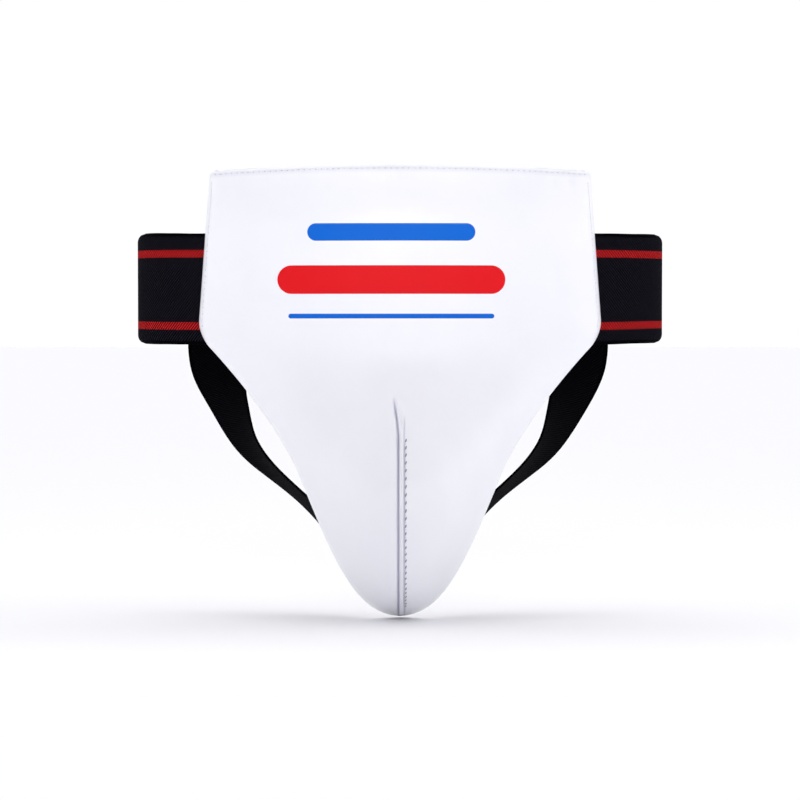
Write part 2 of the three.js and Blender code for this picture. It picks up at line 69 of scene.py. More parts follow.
Point = Sequence[float]
Array = np.ndarray
FRONTWARD = Vector((0, -1, 0))
BACKWARD = Vector((0, 1, 0))


class Side(Enum):
    """The two sides of the object, as signs of X."""

    RIGHT = 1
    LEFT = -1

    @property
    def word(self) -> str:
        """The side's name, as the frame's nodes and bodies use it."""
        return self.name.lower()


# ---------------------------------------------------------------------------------------------
# Materials
# ---------------------------------------------------------------------------------------------
def linear(code: str) -> tuple[float, float, float, float]:
    """Turns an sRGB hex colour to linear.

    Args:
        code: Six hex digits, such as "F4F5FA".

    Returns:
        Red, green, blue and an alpha of one.
    """
    values = [int(code[at : at + 2], 16) / 255 for at in (0, 2, 4)]
    red, green, blue = (v / 12.92 if v <= 0.04045 else ((v + 0.055) / 1.055) ** 2.4 for v in values)
    return red, green, blue, 1.0


class Nodes:
    """A node tree under construction."""

    def __init__(self, tree: bpy.types.NodeTree) -> None:
        """Takes a tree to add to."""
        self.tree = tree

    def add(self, kind: str, settings: dict | None = None, **inputs: object) -> bpy.types.Node:
        """Adds a node with its settings, values and links.

        Args:
            kind: The node's type.
            settings: Properties of the node itself.
            **inputs: A value or an output socket for each input, by name or as _NUMBER.

        Returns:
            The new node.
        """
        node = self.tree.nodes.new(kind)
        for key, value in (settings or {}).items():
            setattr(node, key, value)
        for key, value in inputs.items():
            self.give(node.inputs[int(key[1:]) if key[1:].isdigit() else key.replace("_", " ")], value)
        return node

    def give(self, socket: bpy.types.NodeSocket, value: object) -> None:
        """Links an output to a socket, or sets the socket to a plain value."""
        if isinstance(value, bpy.types.NodeSocket):
            self.tree.links.new(value, socket)
        else:
            socket.default_value = value

    def math(self, operation: str, *values: object) -> bpy.types.NodeSocket:
        """Adds one Math node.

        Args:
            operation: The Math node's operation.
            *values: Up to three numbers or sockets.

        Returns:
            Its value.
        """
        inputs = {f"_{at}": value for at, value in enumerate(values)}
        return self.add("ShaderNodeMath", {"operation": operation}, **inputs).outputs[0]


class Finish(Nodes):
    """A node material under construction."""

    def __init__(self, name: str) -> None:
        """Starts an empty material with a Principled shader.

        Args:
            name: The material's name, for the real substance.
        """
        self.material = bpy.data.materials.new(name)
        self.material.use_nodes = True
        super().__init__(self.material.node_tree)
        self.shader = self.tree.nodes["Principled BSDF"]

    def set(self, **values: object) -> None:
        """Sets or links the shader's own sockets, spaces written as underscores."""
        for key, value in values.items():
            self.give(self.shader.inputs[key.replace("_", " ")], value)

    def coordinates(self) -> bpy.types.NodeSocket:
        """The piece's own coordinates in metres."""
        return self.add("ShaderNodeTexCoord").outputs["Object"]

    def noise(self, size: float, detail: float = 2.0, rough: float = 0.5) -> bpy.types.NodeSocket:
        """Noise with features of a real size.

        Args:
            size: The features' size in metres.
            detail: Octaves of finer noise.
            rough: How strong the finer noise is.

        Returns:
            The noise's value.
        """
        return self.add(
            "ShaderNodeTexNoise",
            Vector=self.coordinates(),
            Scale=1 / size,
            Detail=detail,
            Roughness=rough,
        ).outputs["Fac"]

    def mix(self, share: object, first: object, second: object) -> bpy.types.NodeSocket:
        """Mixes two colours by a share."""
        node = self.add("ShaderNodeMix", {"data_type": "RGBA"}, _0=share, _6=first, _7=second)
        return node.outputs[2]

    def bump(self, height: object, depth: float, after: object = None) -> bpy.types.NodeSocket:
        """Turns a height from 0 to 1 into a bump of a real depth in metres."""
        inputs = {"Height": height, "Distance": depth, "Strength": 1.0}
        if after is not None:
            inputs["Normal"] = after
        return self.add("ShaderNodeBump", **inputs).outputs["Normal"]


@dataclass(frozen=True)
class CoatedFabric:
    """Polyurethane-coated fabric: a smooth film rolled on a knit, with a faint grain and a soft gloss."""

    name: str = "polyurethane_coated_fabric"
    colour: str = "F5F5FA"
    shade: str = "EDEDF5"
    # Painted shade: the colour that the seam's grooves, the dart's folds and the top stitch line darken
    # towards.
    fold: str = "A2A2BA"
    grain: float = 0.7 * MM
    grain_depth: float = 0.018 * MM
    ripple: float = 16 * MM
    ripple_depth: float = 0.22 * MM
    roughness: float = 0.42

    # Screen-printed bars: ink, middle height, half length and half thickness.
    bars: tuple[tuple[str, float, float, float], ...] = ()
    bars_middle: float = -5.5 * MM

    def print_bars(self, finish: Finish, colour: bpy.types.NodeSocket) -> tuple[object, object]:
        """Prints plain round-ended bars over a colour.

        Args:
            finish: The material under construction.
            colour: The film's own colour.

        Returns:
            The colour with the ink on it, and where the ink is.
        """
        parts = finish.add("ShaderNodeSeparateXYZ", _0=finish.coordinates())
        across = finish.math("ABSOLUTE", finish.math("SUBTRACT", parts.outputs[0], self.bars_middle))
        inked = 0.0
        for ink, middle, reach, half in self.bars:
            past = finish.math("MAXIMUM", finish.math("SUBTRACT", across, reach - half), 0.0)
            off = finish.math("SUBTRACT", parts.outputs[2], middle)
            square = finish.math("ADD", finish.math("POWER", past, 2.0), finish.math("MULTIPLY", off, off))
            inside = finish.math("LESS_THAN", square, half * half)
            colour = finish.mix(inside, colour, linear(ink))
            inked = finish.math("MAXIMUM", inked, inside)
        return colour, inked

    def build(self) -> bpy.types.Material:
        """Makes the material.

        Returns:
            White film with a pebbled grain, and a slow unevenness from the foam beneath it.
        """
        finish = Finish(self.name)
        cells = finish.add("ShaderNodeTexVoronoi", Vector=finish.coordinates(), Scale=1 / self.grain)
        slow = finish.noise(self.ripple, 2.0)
        patches = finish.noise(45 * MM, 3.0)
        colour = finish.mix(patches, linear(self.colour), linear(self.shade))
        if self.bars:
            colour, inked = self.print_bars(finish, colour)
            finish.set(Specular_IOR_Level=finish.math("MULTIPLY_ADD", inked, -0.4, 0.5))
            finish.set(Coat_Weight=finish.math("MULTIPLY_ADD", inked, -0.15, 0.15))
            # Painted shade in the creases: the base colour darkens towards the fold colour by the mesh
            # attribute that holds the painted shade.
            painted_crease_shade = finish.add("ShaderNodeAttribute", {"attribute_name": "painted_crease_shade"}).outputs["Fac"]
            colour = finish.mix(finish.math("MULTIPLY", painted_crease_shade, 0.85), colour, linear(self.fold))
        uneven = finish.bump(slow, self.ripple_depth)
        grain = finish.bump(cells.outputs["Distance"], self.grain_depth, uneven)
        gloss = finish.math("MULTIPLY_ADD", patches, 0.12, self.roughness - 0.06)
        finish.set(Base_Color=colour, Roughness=gloss, Normal=grain, IOR=1.5)
        finish.set(Coat_Roughness=0.3)
        if not self.bars:
            finish.set(Coat_Weight=0.15)
        return finish.material


@dataclass(frozen=True)
class Elastic:
    """Woven elastic webbing: black polyester over rubber cores, twill ribs, and red stripes woven in."""

    name: str
    height: float
    stripes: tuple[float, ...] = ()
    stripe_half: float = 2.4 * MM
    rib: float = 1.45 * MM
    lean: float = 50.0
    black: str = "020204"
    thread: str = "25232D"
    red: str = "160003"
    red_thread: str = "E22C2E"
    selvedge: float = 2.2 * MM

    def build(self) -> bpy.types.Material:
        """Makes the material on the piece's own UV map, in metres along and up the webbing.

        Returns:
            A twill with slanted ribs, and stripes where the yarn changes colour. The ribs are drawn
            a little coarser than the yarn, so that they show at the distance of the camera.
        """
        finish = Finish(self.name)
        uv = finish.add("ShaderNodeUVMap", {"uv_map": "weave"}).outputs["UV"]
        parts = finish.add("ShaderNodeSeparateXYZ", _0=uv)
        along, up = parts.outputs[0], parts.outputs[1]
        slant = math.radians(self.lean)
        phase = finish.math(
            "ADD",
            finish.math("MULTIPLY", along, math.sin(slant) * 2 * math.pi / self.rib),
            finish.math("MULTIPLY", up, math.cos(slant) * 2 * math.pi / self.rib),
        )
        jitter = finish.add(
            "ShaderNodeTexNoise", {"noise_dimensions": "2D"}, Vector=uv, Scale=700.0, Detail=1.0
        ).outputs["Fac"]
        wave = finish.math("SINE", finish.math("MULTIPLY_ADD", jitter, 1.6, phase))
        rib = finish.math("MULTIPLY_ADD", wave, 0.5, 0.5)
        picks = finish.math("SINE", finish.math("MULTIPLY", along, 2 * math.pi / (0.9 * MM)))
        weave = finish.math("MULTIPLY_ADD", picks, 0.12, finish.math("MULTIPLY", rib, 0.88))
        edge = finish.math("SUBTRACT", self.height / 2, finish.math("ABSOLUTE", up))
        inside = finish.math("GREATER_THAN", edge, self.selvedge)
        share = finish.math("MULTIPLY", finish.math("POWER", rib, 4.0), inside)
        black = finish.mix(share, linear(self.black), linear(self.thread))
        red = finish.mix(finish.math("POWER", rib, 1.6), linear(self.red), linear(self.red_thread))
        stripe = None
        for middle in self.stripes:
            off = finish.math("ABSOLUTE", finish.math("SUBTRACT", up, middle))
            band = finish.math("LESS_THAN", off, self.stripe_half)
            stripe = band if stripe is None else finish.math("MAXIMUM", stripe, band)
        colour = black if stripe is None else finish.mix(stripe, black, red)
        normal = finish.bump(weave, 0.28 * MM)
        finish.set(Base_Color=colour, Roughness=0.9, Normal=normal, Specular_IOR_Level=0.02)
        return finish.material


@dataclass(frozen=True)
class Cloth:
    """Knitted or fleecy cloth: a field of small loops."""

    name: str
    colour: str
    shade: str
    loop: float
    depth: float
    roughness: float = 0.9

    def build(self) -> bpy.types.Material:
        """Makes the material.

        Returns:
            Rows of loops as a fine bump, with shade painted into the hollows to make them a little darker.
        """
        finish = Finish(self.name)
        cells = finish.add(
            "ShaderNodeTexVoronoi",
            {"feature": "SMOOTH_F1"},
            Vector=finish.coordinates(),
            Scale=1 / self.loop,
            Randomness=0.35,
        ).outputs["Distance"]
        # Painted shade: the hollows between the loops are darkened towards the shade colour.
        hollow_shade = finish.math("MULTIPLY", cells, 1.4)
        colour = finish.mix(hollow_shade, linear(self.colour), linear(self.shade))
        raised = finish.math("SUBTRACT", 1.0, cells)
        normal = finish.bump(raised, self.depth)
        finish.set(Base_Color=colour, Roughness=self.roughness, Normal=normal)
        finish.set(Sheen_Weight=0.2, Sheen_Roughness=0.6, Specular_IOR_Level=0.2)
        return finish.material


@dataclass(frozen=True)
class Thread:
    """Twisted polyester sewing thread, with a slight silk lustre."""

    name: str
    colour: str
    shade: str

    def build(self) -> bpy.types.Material:
        """Makes the material.

        Returns:
            A thread whose plies show as fine bands.
        """
        finish = Finish(self.name)
        plies = finish.add(
            "ShaderNodeTexWave",
            {"wave_type": "BANDS", "bands_direction": "DIAGONAL"},
            Vector=finish.coordinates(),
            Scale=1 / (2.4 * MM),
        ).outputs["Fac"]
        colour = finish.mix(plies, linear(self.shade), linear(self.colour))
        finish.set(Base_Color=colour, Roughness=0.5, Normal=finish.bump(plies, 0.06 * MM))
        finish.set(Sheen_Weight=0.2)
        return finish.material


@dataclass(frozen=True)
class Moulded:
    """Injection-moulded polypropylene or cut foam, with a fine surface texture."""

    name: str
    colour: str
    shade: str
    grit: float
    roughness: float

    def build(self) -> bpy.types.Material:
        """Makes the material.

        Returns:
            A plain body colour with a faint mottling and a fine grit.
        """
        finish = Finish(self.name)
        spots = finish.noise(self.grit, 2.0)
        colour = finish.mix(spots, linear(self.colour), linear(self.shade))
        finish.set(Base_Color=colour, Roughness=self.roughness, Normal=finish.bump(spots, 0.05 * MM))
        return finish.material


# ---------------------------------------------------------------------------------------------
# Modelling helpers
# ---------------------------------------------------------------------------------------------
def fresh(name: str) -> bpy.types.Object:
    """Names the primitive that was just added, and its mesh."""
    piece = bpy.context.object
    piece.name = piece.data.name = name
    return piece


def points_of(piece: bpy.types.Object) -> Array:
    """A mesh's points, one row for each."""
    flat = np.zeros(len(piece.data.vertices) * 3)
    piece.data.vertices.foreach_get("co", flat)
    return flat.reshape(-1, 3)


def move_points(piece: bpy.types.Object, points: Array) -> None:
    """Puts a mesh's points in new places."""
    piece.data.vertices.foreach_set("co", np.asarray(points, float).ravel())
    piece.data.update()


def only(piece: bpy.types.Object) -> None:
    """Makes one piece the selected and the active one."""
    bpy.ops.object.select_all(action="DESELECT")
    piece.select_set(True)
    bpy.context.view_layer.objects.active = piece


def grid(name: str, rows: int, columns: int, place: Callable[[Array, Array], Array]) -> bpy.types.Object:
    """Adds a grid primitive and lays it over a surface.

    Args:
        name: The piece's name.
        rows: Steps along v.
        columns: Steps along u.
        place: Takes arrays u and v of whole steps, and returns the points.

    Returns:
        The placed mesh.
    """
    bpy.ops.object.select_all(action="DESELECT")
    bpy.ops.mesh.primitive_grid_add(x_subdivisions=columns, y_subdivisions=rows, size=2)
    piece = fresh(name)
    flat = points_of(piece)
    u = np.rint((flat[:, 0] + 1) / 2 * columns).astype(int)
    v = np.rint((flat[:, 1] + 1) / 2 * rows).astype(int)
    move_points(piece, place(u, v))
    return piece


def weave_map(piece: bpy.types.Object, columns: int, along: Array, up: Array) -> None:
    """Gives a grid piece a UV map in metres along and up its cloth.

    Args:
        piece: A grid from grid(), before its doubles are merged.
        columns: Its steps along u.
        along: The distance along the cloth at each u.
        up: The distance across it at each v.
    """
    layer = piece.data.uv_layers[0] if piece.data.uv_layers else piece.data.uv_layers.new()
    layer.name = "weave"
    corner = np.zeros(len(piece.data.loops), int)
    piece.data.loops.foreach_get("vertex_index", corner)
    u, v = corner % (columns + 1), corner // (columns + 1)
    values = np.stack([np.asarray(along)[u], np.asarray(up)[v]], 1)
    layer.data.foreach_set("uv", values.astype(np.float32).ravel())


def tidy(piece: bpy.types.Object, merge: float) -> None:
    """Merges doubled points and turns every face outwards."""
    only(piece)
    bpy.ops.object.mode_set(mode="EDIT")
    bpy.ops.mesh.select_all(action="SELECT")
    bpy.ops.mesh.remove_doubles(threshold=merge)
    bpy.ops.mesh.normals_make_consistent(inside=False)
    bpy.ops.object.mode_set(mode="OBJECT")


def face_towards(piece: bpy.types.Object, direction: Vector) -> None:
    """Flips an open sheet whose faces look, on the whole, against a direction."""
    total = sum((face.normal * face.area for face in piece.data.polygons), Vector())
    if total.dot(direction) < 0:
        piece.data.flip_normals()


def modify(piece: bpy.types.Object, kind: str, **settings: object) -> None:
    """Adds one modifier with its settings and applies it."""
    only(piece)
    modifier = piece.modifiers.new(kind.lower(), kind)
    for key, value in settings.items():
        setattr(modifier, key, value)
    bpy.ops.object.modifier_apply(modifier=modifier.name)


def smooth(piece: bpy.types.Object, degrees: float = 50.0) -> None:
    """Shades a piece smooth, apart from its sharp edges."""
    only(piece)
    bpy.ops.object.shade_smooth_by_angle(angle=math.radians(degrees))


def sheet(
    name: str,
    rows: int,
    columns: int,
    place: Callable[[Array, Array], Array],
    facing: Vector,
    wall: float,
    bevel: float = 0.0,
    degrees: float = 60.0,
) -> bpy.types.Object:
    """Makes a sheet with a wall's thickness from a grid.

    Args:
        name: The piece's name.
        rows: The grid's steps along v.
        columns: Its steps along u.
        place: Takes arrays of whole steps, and returns the points of the outer face.
        facing: Which way the outer face looks, on the whole.
        wall: The thickness, which grows inwards.
        bevel: How far its sharp edges are rounded.
        degrees: The sharpest edge that is still shaded smooth.

    Returns:
        The finished sheet.
    """
    piece = grid(name, rows, columns, place)
    tidy(piece, MERGE)
    face_towards(piece, facing)
    modify(piece, "SOLIDIFY", thickness=wall, offset=-1.0)
    if bevel:
        modify(piece, "BEVEL", width=bevel, segments=2, limit_method="ANGLE", angle_limit=1.0)
    smooth(piece, degrees)
    return piece


def dress(piece: bpy.types.Object, material: bpy.types.Material, slot: str, *nodes: str) -> None:
    """Finishes a piece's looks.

    Args:
        piece: The piece.
        material: Its material.
        slot: A slot name for it; not used.
        *nodes: The frame's nodes that it stands for.
    """
    piece.data.materials.clear()
    piece.data.materials.append(material)
    if nodes:
        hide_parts(*nodes)


def report(piece: bpy.types.Object, body: str) -> None:
    """Logs one finished piece."""
    log.info("%s: %d faces, rides on %s", piece.name, len(piece.data.polygons), body)


def hang(piece: bpy.types.Object, body: str) -> None:
    """Hangs a piece on a body, and logs it."""
    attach(piece, body)
    report(piece, body)


def smoothstep(value: Array, low: float, high: float) -> Array:
    """Rises smoothly from 0 at low to 1 at high."""
    share = np.clip((np.asarray(value, float) - low) / (high - low), 0, 1)
    return share * share * (3 - 2 * share)


def bump_at(value: Array, middle: Array | float, width: float) -> Array:
    """A bell of height one at middle."""
    return np.exp(-(((np.asarray(value) - middle) / width) ** 2))


def bezier(points: Sequence[Point], steps: int) -> Array:
    """Points along one Bezier curve of any degree."""
    at = np.linspace(0, 1, steps + 1)[:, None]
    level = [np.asarray(point, float)[None, :] for point in points]
    while len(level) > 1:
        level = [a * (1 - at) + b * at for a, b in zip(level, level[1:])]
    return level[0]


def carried(line: Array, values: Array, places: Array) -> Array:
    """Values known at a line's points, read at given distances along it.

    Args:
        line: The line's points in order.
        values: One row of numbers for each point.
        places: Distances from the line's start.

    Returns:
        One row for each place.
    """
    lengths = np.r_[0, np.cumsum(np.linalg.norm(np.diff(line, axis=0), axis=1))]
    return np.stack([np.interp(places, lengths, column) for column in np.asarray(values).T], 1)


def spaced(line: Array, places: Array) -> Array:
    """Points at given distances along a line of points."""
    return carried(line, line, places)


def relaxed(values: Array, held: Array, passes: int) -> Array:
    """Rows of numbers averaged with their neighbours, apart from the held ones and the two ends."""
    values = values.copy()
    for _ in range(passes):
        middle = (values[:-2] + 2 * values[1:-1] + values[2:]) / 4
        values[1:-1] = np.where(held[1:-1, None], values[1:-1], middle)
    return values


def length_of(line: Array) -> float:
    """The length of a line of points."""
    return float(np.linalg.norm(np.diff(line, axis=0), axis=1).sum())


def through(points: Sequence[Point], per_span: int) -> Array:
    """A smooth curve through points, as a Catmull-Rom spline."""
    known = np.asarray(points, float)
    ends = [2 * known[0] - known[1], *known, 2 * known[-1] - known[-2]]
    found = []
    for a, b, c, d in zip(ends, ends[1:], ends[2:], ends[3:]):
        slope, bend, twist = c - a, 2 * a - 5 * b + 4 * c - d, 3 * b - a - 3 * c + d
        for step in range(per_span):
            t = step / per_span
            found.append(0.5 * (2 * b + slope * t + bend * t**2 + twist * t**3))
    found.append(known[-1])
    return np.array(found)


def unit(vectors: Array) -> Array:
    """Vectors of length one."""
    vectors = np.asarray(vectors, float)
    return vectors / np.maximum(np.linalg.norm(vectors, axis=-1, keepdims=True), 1e-12)


def slow_noise(x: Array, z: Array, size: float, seed: float) -> Array:
    """Smooth fixed noise over a surface, from -1 to 1."""
    return np.array([noise.noise(Vector((a / size, b / size, seed))) for a, b in zip(x, z)])


# ---------------------------------------------------------------------------------------------
# Stitching
# ---------------------------------------------------------------------------------------------
# The needle's way round a box from its lower left corner, and on along one or both diagonals.
BOX = ((-1, -1), (1, -1), (1, 1), (-1, 1), (-1, -1))
BOX_AND_DIAGONAL = (*BOX, (1, 1))
CROSSED_BOX = (*BOX_AND_DIAGONAL, (1, 1), (-1, 1), (1, -1))


@dataclass(frozen=True)
class Seam:
    """One row's stitches: their length, how far the thread stands off, and the needle holes' half length."""

    pitch: float
    lift: float
    hole: float


@dataclass
class Stitching:
    """Rows of lockstitch: one short rounded float of thread for each stitch."""

    thread: float = 0.62 * MM
    gap: float = 0.24
    # How flat the thread lies, and how blunt a stitch's ends are.
    flat: float = 1 / 2.4
    blunt: float = 0.6
    sides: int = 8
    hole_slant: float = 0.22
    hole_share: float = 0.36
    hole_rise: float = 0.2 * MM
    hole_lift: float = 0.08 * MM

    def row(
        self, name: str, line: Array, facing: Array, pitch: float, lift: float = 0.0, sink: float = 0.35
    ) -> bpy.types.Object:
        """Sews one row.

        Args:
            name: The piece's name.
            line: Points along the row, on the cloth.
            facing: The cloth's normal at each point.
            pitch: The length of one stitch.
            lift: How far the thread's middle stands off the cloth.
            sink: How far each stitch's ends dip, in thread thicknesses.

        Returns:
            All the row's stitches as one mesh.
        """
        total = length_of(line)
        count = max(1, round(total / pitch))
        middles = spaced(line, (np.arange(count) + 0.5) * total / count)
        before = spaced(line, np.arange(count) * total / count)
        after = spaced(line, (np.arange(count) + 1) * total / count)
        along = unit(after - before)
        out = unit(carried(line, facing, (np.arange(count) + 0.5) * total / count))
        side = unit(np.cross(along, out))
        out = unit(np.cross(side, along))

        def float_of_thread(ball: Array) -> Array:
            """Stretches the ball along the row, flattens it, and dips its ends into the cloth."""
            ends = np.abs(ball[:, 2])
            reach = np.sign(ball[:, 2]) * ends**self.blunt * total / count * (1 - self.gap) / 2
            rise = ball[:, 1] * self.thread * self.flat - sink * self.thread * ends**3 + lift
            return np.stack([reach, ball[:, 0] * self.thread / 2, rise], 1)

        return self.beads(name, middles, (along, side, out), float_of_thread)

    def box(
        self,
        name: str,
        corners: Sequence[Point],
        reach: Point,
        place: Callable[[Array, Array], tuple[Array, Array]],
        pitch: float,
        lift: float,
        steps: int = 140,
    ) -> bpy.types.Object:
        """Sews round a box, and across it where its corners say so.

        Args:
            name: The piece's name.
            corners: The needle's way, in half sizes of the box.
            reach: The box's half width and half height.
            place: Takes arrays of places across and up the box, and returns points and normals.
            pitch: The length of one stitch.
            lift: How far the thread's middle stands off the cloth.
            steps: Points along the way.

        Returns:
            All the box's stitches as one mesh.
        """
        way = np.array(corners, float) * reach
        way = spaced(way, np.linspace(0, length_of(way), steps))
        return self.row(name, *place(way[:, 0], way[:, 1]), pitch, lift)

    def holes(self, name: str, line: Array, facing: Array, pitch: float, size: float) -> bpy.types.Object:
        """Marks the needle holes between the stitches of a row with grey beads: painted shade in the holes.

        Args:
            name: The piece's name.
            line: The row's line, as for row().
            facing: The cloth's normals, as for row().
            pitch: The length of one stitch.
            size: The half length of a hole.

        Returns:
            All the row's holes as one mesh of small shallow beads.
        """
        total = length_of(line)
        count = max(1, round(total / pitch))
        places = np.arange(count + 1) * total / count
        middles = spaced(line, places)
        out = unit(carried(line, facing, places))
        along = unit(spaced(line, places + 0.5 * MM) - spaced(line, places - 0.5 * MM))
        side = unit(np.cross(along, out))
        # Each hole is drawn long and slanted, as the thread's pull opens it.
        slanted = along + side * self.hole_slant
        axes = (slanted * size, side * size * self.hole_share, out * self.hole_rise)
        return self.beads(name, middles + out * self.hole_lift, axes, rings=4)

    def beads(
        self,
        name: str,
        middles: Array,
        axes: tuple[Array, Array, Array],
        form: Callable[[Array], Array] = lambda ball: ball,
        rings: int = 5,
    ) -> bpy.types.Object:
        """Repeats one small ball.

        Args:
            name: The piece's name.
            middles: Where each ball goes.
            axes: Each ball's own three axes.
            form: Reshapes the unit ball before it is repeated.
            rings: The ball's rings.

        Returns:
            All the balls as one mesh.
        """
        bpy.ops.object.select_all(action="DESELECT")
        bpy.ops.mesh.primitive_uv_sphere_add(segments=self.sides, ring_count=rings, radius=1)
        piece = fresh(name)
        ball = form(points_of(piece))
        faces = [list(face.vertices) for face in piece.data.polygons]
        points = middles[:, None, :] + sum(ball[None, :, k, None] * axes[k][:, None, :] for k in range(3))
        count, size = len(middles), len(ball)
        shifted = [[v + k * size for v in face] for k in range(count) for face in faces]
        mesh = bpy.data.meshes.new(name)
        mesh.from_pydata(points.reshape(-1, 3).tolist(), [], shifted)
        old, piece.data = piece.data, mesh
        bpy.data.meshes.remove(old)
        tidy(piece, 0.0001 * MM)
        smooth(piece, 80)
        return piece


# ---------------------------------------------------------------------------------------------
# The pad's shape
# ---------------------------------------------------------------------------------------------
@dataclass
class PadShape:
    """The pad's outline and its two faces, from the frame's box and the real object's sizes."""

    tip: float
    top: float
    half: float
    back: float
    top_half: float = 121.8 * MM
    sag: float = 3.5 * MM
    top_corner: float = 4 * MM
    hip: float = 182 * MM
    hip_corner: float = 8 * MM
    side_half: float = 61.5 * MM
    side_height: float = 85 * MM
    wrap: float = 0.5 / 0.355
    edge: float = 5.6 * MM
    edge_round: float = 3.2 * MM
    fill: float = 7.6 * MM
    dome: float = 43 * MM
    dome_start: float = 176 * MM
    dome_half: float = 92 * MM
    tail: float = 52 * MM
    tail_start: float = 100 * MM
    tail_radius: float = 105 * MM
    line: Array = field(init=False)

    def __post_init__(self) -> None:
        """Works out the right half of the outline, from the top corner to the tip."""
        corner = self.top - self.sag
        hip = self.tip + self.hip
        side = self.tip + self.side_height
        round_top = [
            (self.top_half - self.top_corner, corner),
            (self.top_half, corner),
            (self.top_half, corner - self.top_corner),
        ]
        flank = [(self.top_half, corner - self.top_corner), (self.half, hip + self.hip_corner)]
        leave = (self.half - 0.75 * self.hip_corner, hip - self.hip_corner)
        round_hip = [(self.half, hip + self.hip_corner), (self.half, hip), leave]
        cut = [
            leave,
            (self.half - 28 * MM, hip - 31 * MM),
            (self.side_half + 10.5 * MM, side + 30 * MM),
            (self.side_half, side),
        ]
        nose = [
            (self.side_half, side),
            (self.side_half - 19 * MM, side - 46 * MM),
            (self.side_half / 2 - 3 * MM, self.tip),
            (0, self.tip),
        ]
        parts = ((round_top, 24), (flank, 60), (round_hip, 40), (cut, 120), (nose, 160))
        line = np.vstack([bezier(points, steps) for points, steps in parts])
        self.line = line[np.r_[True, np.any(np.diff(line, axis=0) != 0, axis=1)]]

    def half_at(self, z: Array) -> Array:
        """The half width at a height."""
        return np.interp(z, self.line[::-1, 1], self.line[::-1, 0])

    def slope_at(self, z: Array) -> Array:
        """How fast the half width changes with height."""
        step = 0.6 * MM
        return (self.half_at(z + step) - self.half_at(z - step)) / (2 * step)

    def inset(self, places: Array, by: Array | float) -> Array:
        """Points on the outline's right half, moved inwards.

        Args:
            places: Distances along the half outline from its top corner.
            by: How far to move each point.

        Returns:
            X and Z of each point.
        """
        at = spaced(self.line, places)
        ahead = spaced(self.line, np.minimum(places + 0.2 * MM, length_of(self.line)))
        behind = spaced(self.line, np.maximum(places - 0.2 * MM, 0))
        along = unit(ahead - behind)
        inward = np.stack([along[:, 1], -along[:, 0]], 1)
        moved = at + inward * np.reshape(by, (-1, 1))
        moved[:, 0] = np.maximum(moved[:, 0], 0)
        return moved

    def back_at(self, x: Array, z: Array) -> Array:
        """The pad's back face, as Y."""
        under = np.clip((self.tail_start - (z - self.tip)) / self.tail_radius, 0, 1)
        tail = self.tail * (1 - np.sqrt(np.maximum(0, 1 - under * under)))
        return self.back + self.wrap * x * x + tail

    def rim_distance(self, x: Array, z: Array) -> tuple[Array, Array]:
        """Distances from the outline: to its sides and to its top."""
        side = (self.half_at(z) - np.abs(x)) / np.sqrt(1 + self.slope_at(z) ** 2)
        top = self.top - self.sag * (x / self.top_half) ** 2 - z
        return np.maximum(side, 0), np.maximum(top, 0)

    def dome_at(self, x: Array, z: Array) -> Array:
        """How far the cup stands the cover out, from 0 to 1."""
        height = z - self.tip
        half = self.half_at(z)
        rise = 1 - smoothstep(height, self.side_height, self.dome_start)
        fall = np.clip(1 - (np.minimum(height, self.side_height) / self.side_height - 1) ** 2, 0, 1)
        wide = np.where(
            height > self.side_height,
            half + (self.dome_half - half) * smoothstep(height, self.side_height, 135 * MM),
            half,
        )
        across = np.clip(1 - (x / np.maximum(wide, 1 * MM)) ** 2, 0, 1)
        power = 0.86 + 0.75 * smoothstep(height, 70 * MM, 130 * MM)
        return rise * fall**0.62 * across**power

    def thickness_at(self, x: Array, z: Array) -> Array:
        """The pad's thickness, from its back face to its cover."""
        side, top = self.rim_distance(x, z)
        near = np.minimum(side, top)
        rim = np.sqrt(np.clip(1 - (1 - np.clip(near / self.edge_round, 0, 1)) ** 2, 0, 1))
        fill = np.sin(np.clip(side / (26 * MM), 0, 1) * math.pi / 2) * smoothstep(top, 1 * MM, 40 * MM)
        return self.edge * rim + self.fill * fill + self.dome * self.dome_at(x, z) * rim

    def front_at(self, x: Array, z: Array) -> Array:
        """The cover's outer face, as Y."""
        return self.back_at(x, z) - self.thickness_at(x, z)

    def normal_at(self, x: Array, z: Array) -> Array:
        """The cover's outward normal."""
        step = 0.5 * MM
        dx = (self.front_at(x + step, z) - self.front_at(x - step, z)) / (2 * step)
        dz = (self.front_at(x, z + step) - self.front_at(x, z - step)) / (2 * step)
        return unit(np.stack([dx, -np.ones_like(dx), dz], 1))


# ---------------------------------------------------------------------------------------------
# The pad
# ---------------------------------------------------------------------------------------------
@dataclass(frozen=True)
class Fold:
    """A ridge or a groove beside a line on the cover, in millimetres from the line."""

    off: float
    width: float
    height: float
    # How much shade is painted into a groove's colour, and over what width.
    shade: float = 0.0
    shade_width: float = 0.5

    def stands(self, x: Array, line: Array | float) -> Array:
        """How far it stands out at each X."""
        return self.height * MM * bump_at(x, line + self.off * MM, self.width * MM)

    def painted_shade_at(self, x: Array, line: Array | float) -> Array:
        """How much shade is painted at each X, from 0 to 1."""
        return self.shade * bump_at(x, line + self.off * MM, self.shade_width * MM)


# The felled seam is a welt between two grooves, with a fine groove along its middle.
SEAM_FOLDS = (
    Fold(1.0, 1.0, 1.5),
    Fold(-1.0, 0.7, -1.7, 1.0, 0.6),
    Fold(2.75, 0.65, -1.0, 0.55),
    Fold(1.1, 0.3, -0.5, 0.3, 0.3),
)
# Above the seam the dart runs out in two folds, which lean apart.
LEFT_FOLDS = (Fold(0.0, 1.1, 1.3), Fold(-1.8, 0.9, -1.7, 1.0, 0.6))
RIGHT_FOLDS = (Fold(0.0, 0.9, 1.1), Fold(1.0, 1.0, 0.0, 0.7))
VALLEY = Fold(-0.1, 0.7, -0.9)


